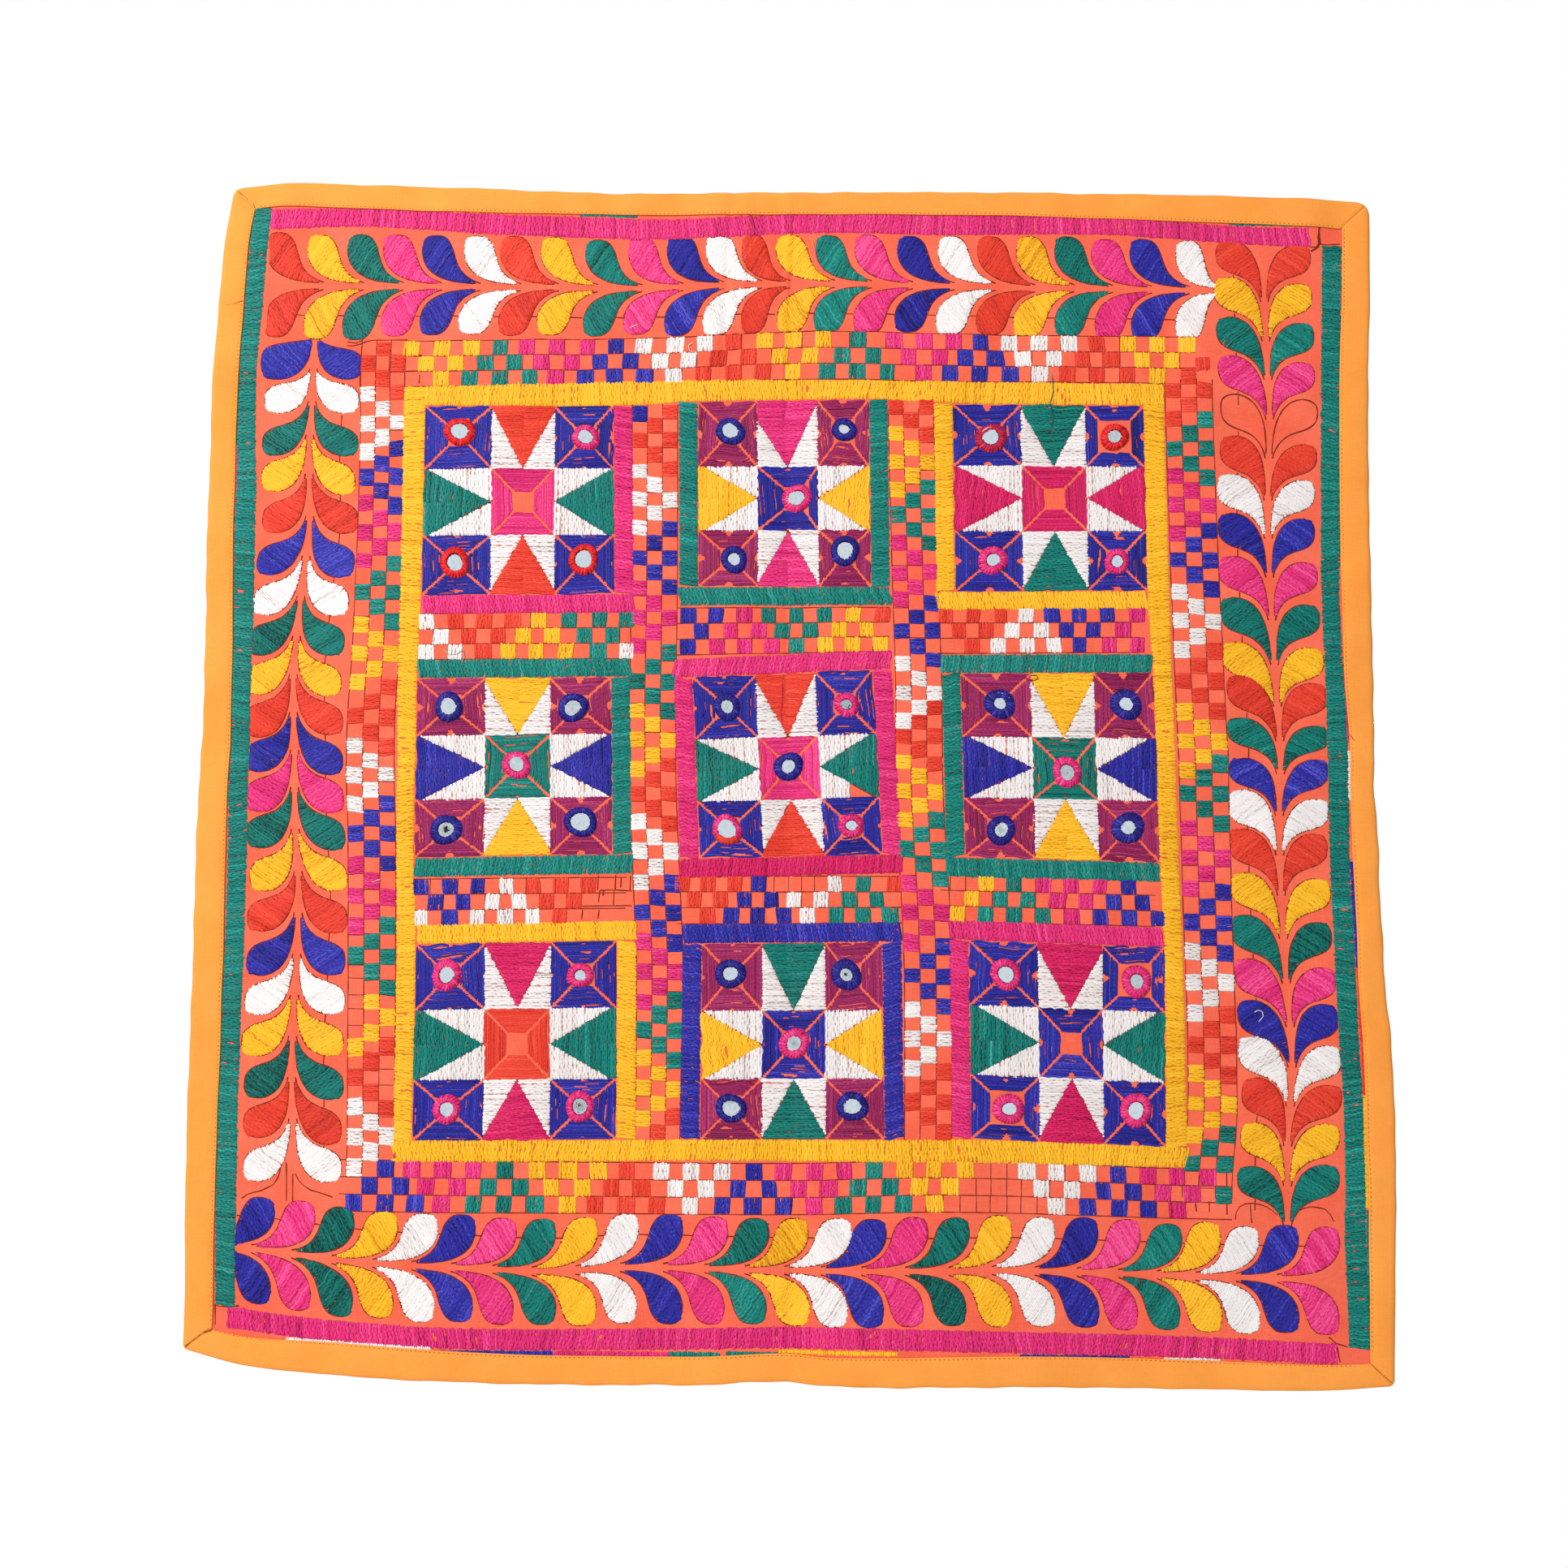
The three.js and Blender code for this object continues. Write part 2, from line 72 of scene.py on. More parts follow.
# Main folds: runs, at, lean, rise towards the viewer, reach to each side, from, to, fade.
FOLDS = [
    ("down", -1, 0.006, -1.8, 15, 0, 840, 60),
    ("across", 381, -0.006, -2.0, 14, -480, 20, 70),
    ("across", 384, -0.012, 1.7, 15, -20, 480, 70),
    ("down", -190, -0.02, 2.6, 95, -90, 430, 270),
    ("down", 178, 0.02, -2.2, 90, -90, 390, 250),
    ("down", -268, 0.05, 4.0, 62, 430, 1060, 270),
    ("down", -112, 0.03, -3.6, 56, 470, 1060, 250),
    ("down", 92, -0.02, 3.8, 66, 450, 1060, 260),
    ("down", 262, -0.05, -3.4, 60, 480, 1060, 240),
    ("across", 62, 0.05, 1.5, 18, -560, -312, 66),
    ("across", 104, 0.03, -1.4, 18, -560, -320, 60),
    ("across", 150, 0.04, 1.7, 19, -560, -310, 66),
    ("across", 197, 0.02, -1.3, 19, -560, -322, 58),
    ("across", 247, 0.03, 1.2, 20, -560, -318, 60),
    ("across", 560, 0.04, 2.4, 58, 250, 560, 110),
    ("across", 790, 0.06, -3.2, 58, -640, -230, 150),
    ("across", 545, 0.02, 2.4, 150, -640, 640, 300),
]

# Sharp press marks in the middle of the main folds, too fine for the solid: as the folds.
PRESSED = [
    ("down", -1, 0.006, -0.5, 2.4, -60, 840, 60),
    ("across", 381, -0.006, -0.5, 2.4, -480, 20, 70),
    ("across", 384, -0.012, 0.4, 2.4, -20, 480, 70),
    ("across", 429, 0.0, -0.4, 2.2, -440, -260, 60),
    ("down", -46, 0.0, -0.8, 2.2, -60, 170, 60),
    ("down", -35, 0.0, 0.6, 2.6, -60, 165, 60),
    ("down", -6, 0.0, 0.7, 2.4, -60, 175, 60),
    ("down", -13, 0.0, -0.8, 2.2, 430, 530, 40),
    ("down", 3, 0.0, 0.7, 2.2, 435, 525, 40),
]

# Width of the binding on the front: (place along the edge, width).
BINDING_WIDTHS = {
    "top": [(-381, 16.5), (-250, 17), (-150, 15.5), (0, 15.5), (150, 16.5), (300, 19), (381, 20)],
    "bottom": [(-381, 17), (-300, 20), (-200, 18.5), (0, 17.5), (150, 19), (260, 18), (381, 15)],
    "left": [(0, 16.5), (130, 17), (300, 18), (480, 19.5), (640, 19.5), (777, 18)],
    "right": [(0, 18.5), (150, 19.3), (325, 18.9), (365, 16.2), (390, 15.6), (420, 16.8), (490, 16.6),
              (560, 18), (625, 18.3), (685, 17.3), (777, 15.5)],
}

# Floss colours as sRGB bytes: (in the shade, main, in the light).
FLOSS = {
    "white": ((152, 124, 116), (231, 224, 222), (245, 241, 240)),
    "yellow": ((196, 118, 8), (243, 181, 36), (254, 202, 66)),
    "green": ((1, 46, 42), (14, 118, 108), (62, 172, 160)),
    "blue": ((9, 6, 58), (41, 39, 149), (92, 92, 206)),
    # A darker copy of the blue for the rings, painted shade of their tightly packed threads.
    "blue_in_shade": ((5, 4, 50), (31, 25, 120), (74, 70, 172)),
    "pink": ((128, 4, 56), (220, 41, 113), (248, 96, 158)),
    "crimson": ((104, 2, 38), (206, 24, 90), (234, 66, 124)),
    "red": ((164, 30, 16), (222, 60, 42), (240, 92, 72)),
    "scarlet": ((112, 6, 10), (218, 28, 32), (246, 76, 72)),
    "ruby": ((78, 2, 22), (176, 24, 60), (212, 66, 100)),
    "plum": ((60, 6, 34), (146, 30, 84), (186, 70, 120)),
    "grey": ((80, 100, 104), (150, 166, 168), (200, 210, 210)),
}
# Cloth colours: (main, in the thick places of the yarn and in the cloudy patches, which are partly dye and
# partly painted shade).
GROUND_COLOURS = ((247, 119, 92), (232, 88, 62))
BINDING_COLOURS = ((247, 162, 74), (242, 146, 58))
# Drawn lines: the pattern on the cloth, and along stitched edges also painted shadow between the thread ends.
INK_AND_EDGE_SHADOW_COLOUR = (122, 40, 26)
# Machine stitches, and also the painted shadow lines in the binding's folds.
SEAM_AND_CREASE_SHADOW_COLOUR = (150, 78, 20)
# Linear colours of a mirror: grey, pale, and black for painted dark reflections.
SILVER_GREY, SILVER_PALE, SILVER_DARK_REFLECTION = (0.4, 0.44, 0.46, 1), (0.7, 0.79, 0.87, 1), (0.03, 0.03, 0.03, 1)


def linear(colour):
    """An sRGB byte colour as linear red, green, blue and 1."""
    c = np.array(colour, float) / 255
    rgb = np.where(c <= 0.04045, c / 12.92, ((c + 0.055) / 1.055) ** 2.4)
    return (*rgb.tolist(), 1.0)


def through(rows, at):
    """A smooth curve through rows of (place, value), level past both ends."""
    place, value = np.array(rows, float).T
    slope = np.zeros(len(value))
    slope[1:-1] = (value[2:] - value[:-2]) / (place[2:] - place[:-2])
    slope[0] = (value[1] - value[0]) / (place[1] - place[0])
    slope[-1] = (value[-1] - value[-2]) / (place[-1] - place[-2])
    at = np.clip(np.asarray(at, float), place[0], place[-1])
    i = np.clip(np.searchsorted(place, at, side="right") - 1, 0, len(place) - 2)
    span = place[i + 1] - place[i]
    t = (at - place[i]) / span
    start = value[i] * (1 + 2 * t) * (1 - t) ** 2 + slope[i] * span * t * (1 - t) ** 2
    return start + value[i + 1] * (3 - 2 * t) * t**2 + slope[i + 1] * span * (t - 1) * t**2


def smooth_step(low, high, value):
    """From 0 at low to 1 at high, level at both."""
    t = np.clip((value - low) / (high - low), 0, 1)
    return t * t * (3 - 2 * t)


def lengths(steps):
    """The length of one step or of each row of steps."""
    return np.hypot(*np.asarray(steps, float).T)


def quarter_turn(ways):
    """Rows of directions turned by a quarter turn."""
    return np.column_stack([-ways[:, 1], ways[:, 0]])


def placed(along, cross, upright):
    """Rows of x and z from places along and across an upright or a level band."""
    return np.column_stack([cross, along] if upright else [along, cross])


def hang(across, down):
    """Where a place on the flat cloth hangs: the edges' straying fades from each edge to the other."""
    a, d = np.array(across, float), np.array(down, float)
    for side, end, radius in CORNERS:
        s = np.clip(1 - (WIDTH / 2 - side * a) / radius, 0, 1)
        t = np.clip(1 - (DROP - d if end else d) / radius, 0, 1)
        a, d = (a - side * s * (1 - np.sqrt(1 - t * t / 2)) * radius,
                d + (1 - 2 * end) * t * (1 - np.sqrt(1 - s * s / 2)) * radius)
    u, v = a / WIDTH + 0.5, d / DROP
    x = a - through(EDGES["left"], d) * (1 - u) + through(EDGES["right"], d) * u
    z = -d + through(EDGES["top"], a) * (1 - v) - through(EDGES["bottom"], a) * v
    return x, z


def unhang(x, z):
    """The place on the flat cloth that hangs at x, z, found by stepping back the difference."""
    across, down = np.array(x, float), -np.array(z, float)
    for _ in range(4):
        there_x, there_z = hang(across, down)
        across, down = across + x - there_x, down - z + there_z
    return across, down


RIPPLE_COUNT = 16
RIPPLE_RISE = 0.0028       # a ripple's height as a share of its length
RIPPLES = [(angle, length, phase, RIPPLE_RISE * length) for angle, length, phase in zip(
    rng.uniform(0, math.pi, RIPPLE_COUNT), rng.uniform(20, 85, RIPPLE_COUNT),
    rng.uniform(0, FULL_TURN, RIPPLE_COUNT))]


def depth(across, down):
    """Folds, each a smooth ridge or trough that fades at both ends, and faint ripples of all directions."""
    total = np.zeros(np.broadcast(across, down).shape)
    for runs, at, lean, rise, reach, start, end, fade in FOLDS + PRESSED:
        if runs == "down":
            off, along = across - at - lean * (down - DROP / 2), down
        else:
            off, along = down - at - lean * across, across
        fading = smooth_step(start, start + fade, along) * (1 - smooth_step(end - fade, end, along))
        total += rise * np.exp(-((off / reach) ** 2)) * fading
    for angle, length, phase, height in RIPPLES:
        turn = (across * math.cos(angle) + down * math.sin(angle)) * 2 * math.pi / length
        total += height * np.sin(turn + phase)
    return total


def lay(x, z, lift):
    """Lays places of the stitched field, at a height off the cloth, on the hanging cloth, in metres."""
    px, pz = np.asarray(x, float) + FIELD[0], np.asarray(z, float) + FIELD[1]
    y = -depth(*unhang(px, pz)) - lift
    return np.stack(np.broadcast_arrays(px, y, pz), axis=-1) * MM


def lay_flat(across, down, lift):
    """Lays places of the flat cloth, at a height off it, on the hanging cloth, in metres."""
    x, z = hang(across, down)
    return np.stack(np.broadcast_arrays(x, -depth(across, down) - lift, z), axis=-1) * MM


def on_field(across, down):
    """Places of the flat cloth as they hang, measured from the middle of the stitched field."""
    x, z = hang(across, down)
    return np.column_stack([x - FIELD[0], z - FIELD[1]])


def net_faces(rows, columns):
    """Four-sided faces of a net of rows by columns of points."""
    corner = (np.arange(rows - 1)[:, None] * columns + np.arange(columns - 1)).ravel()
    return np.stack([corner, corner + 1, corner + columns + 1, corner + columns], axis=1)


def make_piece(name, points, faces, material, maps=None, values=None, smooth=True):
    """A mesh object from points in metres and four-sided faces, with UV maps and values per point."""
    mesh = bpy.data.meshes.new(name)
    points = np.ascontiguousarray(points, np.float32).reshape(-1, 3)
    faces = np.ascontiguousarray(faces, np.int32)
    mesh.vertices.add(len(points))
    mesh.vertices.foreach_set("co", points.ravel())
    mesh.loops.add(faces.size)
    mesh.loops.foreach_set("vertex_index", faces.ravel())
    mesh.polygons.add(len(faces))
    mesh.polygons.foreach_set("loop_start", np.arange(0, faces.size, 4, dtype=np.int32))
    mesh.polygons.foreach_set("loop_total", np.full(len(faces), 4, np.int32))
    mesh.polygons.foreach_set("use_smooth", np.full(len(faces), smooth))
    mesh.update(calc_edges=True)
    for key, uv in (maps or {}).items():
        layer = mesh.uv_layers.new(name=key)
        layer.data.foreach_set("uv", np.ascontiguousarray(uv[faces.ravel()], np.float32).ravel())
    for key, value in (values or {}).items():
        mesh.attributes.new(key, "FLOAT", "POINT").data.foreach_set("value", np.asarray(value, np.float32))
    mesh.materials.append(material)
    piece = bpy.data.objects.new(name, mesh)
    bpy.context.scene.collection.objects.link(piece)
    return piece


# Stitches. Each row: start x, z, end x, z, width, height, lift at the start and end, wave, sway, bow, tone
# and the wave's phase.
sewn = {}
passes = {}
LONGEST_PASS = 3.2         # between two stitches, on the back
PASS_WIDTH, PASS_LIFT = 0.8, -0.16         # of such a pass, behind the cloth
PHASE_DRIFT = 0.3          # how far a thread's wave falls out of step with its neighbour's
SLACK_LEAST, SLACK_MORE = 0.45, 0.9        # share of the wave a taut thread has, and what a slack one adds


def sew(floss, start, end, width=1.5, height=0.5, lift=0.12, lift_end=None, wave=0.2, sway=0.0, bow=0.0,
        tone=0.0, stray=0.22, shortest=1.1):
    """Adds stitches of one floss from start to end, each a little astray.

    A wave is a thread's own swing, against its neighbours', so slits open between some of them. A sway
    and a bow are the double and the single bend that a whole row shares. On the back the floss passes from
    a stitch's end to the next one's end and from that one's start to the start that follows.
    """
    start, end = np.atleast_2d(start).astype(float), np.atleast_2d(end).astype(float)
    kept = lengths(end - start) > shortest
    count = int(kept.sum())
    if not count:
        return
    start = start[kept] + rng.normal(0, stray, (count, 2))
    end = end[kept] + rng.normal(0, stray, (count, 2))
    lift_end = lift if lift_end is None else lift_end
    phase = rng.uniform(0, FULL_TURN) + np.arange(count) * math.pi
    phase = phase + np.cumsum(rng.normal(0, PHASE_DRIFT, count))
    slack = SLACK_LEAST + SLACK_MORE * rng.random(count) ** 2

    def each(value):
        return np.broadcast_to(value, len(kept))[kept]

    rows = np.column_stack([start, end, each(width), each(height), each(lift), each(lift_end),
                            each(wave) * slack, each(sway), each(bow), each(tone), phase])
    sewn.setdefault(floss, []).append(rows)
    first = np.arange(count - 1)
    tips = np.stack([end, start])
    a, b = tips[first % 2, first], tips[first % 2, first + 1]
    passes.setdefault(floss, []).append(np.column_stack([a, b])[lengths(b - a) < LONGEST_PASS])


def places_along(edge, shares):
    """Points at shares of the length of a broken line."""
    edge = np.asarray(edge, float)
    run = np.concatenate([[0], np.cumsum(lengths(np.diff(edge, axis=0)))])
    run = run / max(run[-1], 1e-6)
    return np.column_stack([np.interp(shares, run, edge[:, 0]), np.interp(shares, run, edge[:, 1])])


def sew_parted(floss, start, end, gaps, **how):
    """Sews stitches in parts that leave bare gaps: (stitch, middle along it, half its length)."""
    starts, ends, order = [], [], []
    for i, (a, b) in enumerate(zip(start, end)):
        length = lengths(b - a)
        at = 0.0
        for _, middle, half in [*sorted(g for g in gaps if g[0] == i), (i, length, 0.0)]:
            starts.append(a + (b - a) * min(at / length, 1))
            ends.append(a + (b - a) * min(max(middle - half, at) / length, 1))
            order.append(i)
            at = middle + half
    how = {key: np.broadcast_to(value, len(start))[order] if np.ndim(value) else value
           for key, value in how.items()}
    sew(floss, starts, ends, **how)


def fill(floss, edge_a, edge_b, pitch=1.3, trim=0.25, lean=0.0, wave=0.2, **how):
    """Fills the space between two edges with stitches from one to the other, steadier at its sides."""
    length = max(lengths(np.diff(edge, axis=0)).sum() for edge in (edge_a, edge_b))
    count = max(2, int(length / pitch))
    shares = (np.arange(count) + 0.5) / count
    start = places_along(edge_a, np.clip(shares + lean / length / 2, 0, 1))
    end = places_along(edge_b, np.clip(shares - lean / length / 2, 0, 1))
    gone = lengths(end - start)[:, None] + 1e-6
    step = (end - start) / gone * np.minimum(trim, gone * 0.3)
    swing = np.full(count, wave)
    swing[[0, -1]] *= 0.3
    sew(floss, start + step, end - step, width=pitch * COVER, wave=swing, **how)


ink_and_shadow_lines = []
INK_STEP = 5.0             # longest straight stretch of a drawn line
INK_LIFT = 0.1


def draw(points, width=0.7):
    """Adds a line drawn on the cloth under the stitches; at the edges of stitching such a line also stands
    for painted shadow.
    """
    points = np.asarray(points, float)
    length = lengths(np.diff(points, axis=0)).sum()
    count = max(len(points), int(length / INK_STEP) + 2)
    if count > len(points):
        points = places_along(points, np.linspace(0, 1, count))
    ink_and_shadow_lines.append((points, width))


SHADE_SPREAD = 0.09        # how far single threads of a floss differ in tone
THREAD_END = 1.1           # length over which a thread narrows and dives at each end
WAVY_STEP, PLAIN_STEP = 2.7, 5.0   # spacing of the points along a thread that waves, and along a plain one
FEWEST_STEPS, MOST_STEPS = 3, 11   # of one thread
CELL_SIDE, CELL_END = 0.1, 0.06    # margins of a thread's own cell in the bake map


def floss_arrays(rows, turns=()):
    """Points, faces, maps and shades of many threads, and of their turns on the back.

    A thread is a low ridge: three points across it and a few along it, closer together near its ends,
    where it narrows and dives into the cloth. It swings sideways in a sine along its length, and where its
    ends lie at two heights it rises steeply first. A turn is a flat four-cornered dash behind the cloth.
    """
    turns = np.reshape(turns, (-1, 4))
    a, b = rows[:, 0:2], rows[:, 2:4]
    width, height, lift_a, lift_b, wave, sway, bow, tone, phase = rows[:, 4:13].T
    run = b - a
    length = lengths(run)
    aside = quarter_turn(run) / length[:, None]
    shade = np.clip(0.5 + tone + rng.normal(0, SHADE_SPREAD, len(rows)), 0.02, 0.98)
    twist_start = rng.uniform(0, 9, len(rows))
    steps = np.rint(length / np.where(wave > 0.06, WAVY_STEP, PLAIN_STEP)) + 2
    steps = np.clip(steps, FEWEST_STEPS, MOST_STEPS).astype(int)
    columns = int(math.ceil(math.sqrt((len(rows) + len(turns)) * 4)))
    cell_rows = int(math.ceil((len(rows) + len(turns)) / columns))
    points, faces, thread_map, bake_map, shades = [], [], [], [], []
    first = 0
    for count in np.unique(steps):
        k = np.flatnonzero(steps == count)
        even = np.arange(count + 1) / count
        t = 0.5 * even + 0.25 * (1 - np.cos(math.pi * even))
        s = t * length[k, None]
        near_end = np.minimum(s, length[k, None] - s)
        full = np.clip(near_end / THREAD_END, 0, 1) ** 0.6
        swing = wave[k, None] * np.sin(2 * math.pi * s / STITCH_WAVE + phase[k, None]) * full
        swing = swing + sway[k, None] * np.sin(2 * math.pi * t) + bow[k, None] * np.sin(math.pi * t)
        off = np.array([-1.0, 0.0, 1.0])
        reach = swing[..., None] + off * 0.5 * (width[k, None] * (0.65 + 0.35 * full))[..., None]
        x = (a[k, 0, None] + run[k, 0, None] * t)[..., None] + aside[k, 0, None, None] * reach
        z = (a[k, 1, None] + run[k, 1, None] * t)[..., None] + aside[k, 1, None, None] * reach
        base = lift_a[k, None] + (lift_b - lift_a)[k, None] * (1 - (1 - t) ** 2.4)
        lift = base[..., None] + (height[k, None] * full)[..., None] * (1 - np.abs(off))
        points.append(lay(x, z, lift).reshape(-1, 3))
        size = (count + 1) * 3
        block = net_faces(count + 1, 3)
        faces.append((first + np.arange(len(k))[:, None, None] * size + block[None]).reshape(-1, 4))
        first += len(k) * size
        side = np.broadcast_to((off + 1) / 2, x.shape)
        along = np.broadcast_to(s[..., None] / 10 + twist_start[k, None, None], x.shape)
        thread_map.append(np.stack([side, along], -1).reshape(-1, 2))
        cell_u = (k % columns)[:, None, None] + CELL_SIDE + (1 - 2 * CELL_SIDE) * side
        end_to_end = np.broadcast_to(t[:, None], x.shape)
        cell_v = (k // columns)[:, None, None] + CELL_END + (1 - 2 * CELL_END) * end_to_end
        bake_map.append(np.stack([cell_u / columns, cell_v / cell_rows], -1).reshape(-1, 2))
        shades.append(np.repeat(shade[k], size))
    if len(turns):
        k = len(rows) + np.arange(len(turns))
        a, b = turns[:, 0:2], turns[:, 2:4]
        way = (b - a) / (lengths(b - a)[:, None] + 1e-6)
        aside = quarter_turn(way) * (PASS_WIDTH / 2)
        corners = np.stack([a - aside, a + aside, b + aside, b - aside], axis=1)
        points.append(lay(corners[..., 0], corners[..., 1], PASS_LIFT).reshape(-1, 3))
        faces.append(first + np.arange(len(turns) * 4).reshape(-1, 4))
        u, v = np.array([0.2, 0.8, 0.8, 0.2]), np.array([0.0, 0.0, 0.9, 0.9])
        thread_map.append(np.stack(np.broadcast_arrays(u, v * 0.15 + (k % 7)[:, None]), -1).reshape(-1, 2))
        cell = [((k % columns)[:, None] + u) / columns, ((k // columns)[:, None] + 0.05 + v) / cell_rows]
        bake_map.append(np.stack(cell, -1).reshape(-1, 2))
        shades.append(np.full(len(turns) * 4, 0.5))
    maps = {"Thread": np.concatenate(thread_map), "OFBake": np.concatenate(bake_map)}
    return np.concatenate(points), np.concatenate(faces), maps, {"shade": np.concatenate(shades)}


# Node groups and materials.
def new_group(name, inputs, outputs):
    """An empty shader group with its input and output nodes."""
    group = bpy.data.node_groups.new(name, "ShaderNodeTree")
    for label, kind in inputs:
        group.interface.new_socket(label, in_out="INPUT", socket_type=kind)
    for label, kind in outputs:
        group.interface.new_socket(label, in_out="OUTPUT", socket_type=kind)
    return group, group.nodes.new("NodeGroupInput"), group.nodes.new("NodeGroupOutput")


def add_node(tree, kind, given=None, **values):
    """A node whose first input is linked to what is given, with values on the inputs of those names."""
    node = tree.nodes.new(f"ShaderNode{kind}")
    for label, value in values.items():
        node.inputs[label.replace("_", " ")].default_value = value
    if given is not None:
        tree.links.new(given, node.inputs[0])
    return node


def math_node(tree, operation, first, second=None):
    """One sum in a node tree, of sockets or plain numbers."""
    node = add_node(tree, "Math")
    node.operation = operation
    for socket, value in zip(node.inputs, (first, second)):
        if value is None:
            continue
        if isinstance(value, (int, float)):
            socket.default_value = value
        else:
            tree.links.new(value, socket)
    return node.outputs[0]


def spread(tree, value, low, high):
    """A value spread so that low becomes 0 and high becomes 1."""
    return add_node(tree, "MapRange", value, From_Min=low, From_Max=high).outputs[0]


def mix_colours(tree, amount, first, second):
    """From the first colour to the second by an amount."""
    node = add_node(tree, "Mix")
    node.data_type = "RGBA"
    tree.links.new(amount, node.inputs["Factor"])
    for socket, value in ((node.inputs[6], first), (node.inputs[7], second)):
        if isinstance(value, tuple):
            socket.default_value = value
        else:
            tree.links.new(value, socket)
    return node.outputs[2]


TWISTS, TWIST_SLANT = 3.7, 4.2     # turns of the twist in a centimetre of thread, and their slant


def floss_group():
    """Floss: two strands to a thread, with painted shade at their sides and between the strands, painted
    sheen flecks, and the twist's slanting painted light and shade.
    """
    group, given, out = new_group(
        "floss_tone",
        [("Shade", "NodeSocketColor"), ("Main", "NodeSocketColor"), ("Light", "NodeSocketColor")],
        [("Colour", "NodeSocketColor"), ("Height", "NodeSocketFloat")])
    uv = add_node(group, "UVMap")
    uv.uv_map = "Thread"
    parts = add_node(group, "SeparateXYZ", uv.outputs[0])
    across, along = parts.outputs[0], parts.outputs[1]

    def work_out(operation, first, second=None):
        return math_node(group, operation, first, second)

    centred = work_out("SUBTRACT", across, 0.5)
    crown = work_out("SUBTRACT", 1.0, work_out("MULTIPLY", work_out("ABSOLUTE", centred), 2.0))
    drawn_out = add_node(group, "Mapping", uv.outputs[0], Scale=(1.4, 1.3, 1.0))
    streak = add_node(group, "TexNoise", drawn_out.outputs[0], Scale=2.4, Detail=3.0)
    own = add_node(group, "Attribute")
    own.attribute_name = "shade"
    twist = work_out("ADD", work_out("MULTIPLY", along, 2 * math.pi * TWISTS),
                     work_out("MULTIPLY", across, TWIST_SLANT))
    strand = work_out("PINGPONG", work_out("MULTIPLY", centred, 3.0), 0.5)
    # Painted shade at a thread's sides and between its two strands, painted light and shade along the twist,
    # and painted sheen flecks from the streak noise.
    level = work_out("ADD", work_out("MULTIPLY", crown, 0.5), work_out("MULTIPLY", strand, 0.5))
    level = work_out("ADD", level, work_out("MULTIPLY", work_out("SINE", twist), 0.07))
    level = work_out("ADD", level, streak.outputs[0])
    level = work_out("ADD", level, own.outputs["Fac"])
    level = work_out("SUBTRACT", level, 0.75)
    dark, pale = spread(group, level, 0.24, 0.64), spread(group, level, 0.78, 1.14)
    colour = mix_colours(group, dark, given.outputs["Shade"], given.outputs["Main"])
    colour = mix_colours(group, pale, colour, given.outputs["Light"])
    group.links.new(colour, out.inputs["Colour"])
    group.links.new(streak.outputs[0], out.inputs["Height"])
    return group


def cotton_group():
    """Plain cotton: slubs along both yarns, and faint clouds that are partly unevenness of the dye and partly
    painted shade of the cloth's soft puckers.
    """
    group, given, out = new_group(
        "cotton_tone", [("Main", "NodeSocketColor"), ("Deep", "NodeSocketColor")],
        [("Colour", "NodeSocketColor"), ("Height", "NodeSocketFloat")])
    place = add_node(group, "TexCoord").outputs["Object"]

    def slubs(scale):
        drawn_out = add_node(group, "Mapping", place, Scale=scale)
        return add_node(group, "TexNoise", drawn_out.outputs[0], Scale=1.0, Detail=2.0).outputs[0]

    weave = math_node(group, "ADD", slubs((180, 180, 2200)), slubs((2200, 180, 180)))
    # Clouds: partly unevenness of the dye, partly painted shade of the cloth's soft puckers.
    cloud = slubs((28, 28, 28))
    level = math_node(group, "ADD", math_node(group, "MULTIPLY", weave, 0.55),
                      math_node(group, "MULTIPLY", cloud, 0.8))
    thick = spread(group, level, 0.62, 1.25)
    colour = mix_colours(group, thick, given.outputs["Main"], given.outputs["Deep"])
    group.links.new(colour, out.inputs["Colour"])
    group.links.new(weave, out.inputs["Height"])
    return group


FLOSS_GROUP, COTTON_GROUP = floss_group(), cotton_group()


def new_material(name, roughness, specular=0.5, metallic=0.0):
    """A material and its shader, with the shine set."""
    material = bpy.data.materials.new(name)
    material.use_nodes = True
    shader = material.node_tree.nodes["Principled BSDF"]
    shader.inputs["Roughness"].default_value = roughness
    shader.inputs["Specular IOR Level"].default_value = specular
    shader.inputs["Metallic"].default_value = metallic
    return material, shader


RELIEF = 0.0003            # depth of the yarns' fine relief, in metres


def grouped_material(name, group, colours, bump, **how):
    """A material whose colour and fine relief come from a shared group."""
    material, shader = new_material(name, **how)
    tree = material.node_tree
    tone = add_node(tree, "Group")
    tone.node_tree = group
    for label, colour in colours.items():
        tone.inputs[label].default_value = colour
    relief = add_node(tree, "Bump", Strength=bump, Distance=RELIEF)
    tree.links.new(tone.outputs["Colour"], shader.inputs["Base Color"])
    tree.links.new(tone.outputs["Height"], relief.inputs["Height"])
    tree.links.new(relief.outputs[0], shader.inputs["Normal"])
    return material


def plain_material(name, colour, **how):
    """A material of one colour."""
    material, shader = new_material(name, **how)
    shader.inputs["Base Color"].default_value = colour
    return material


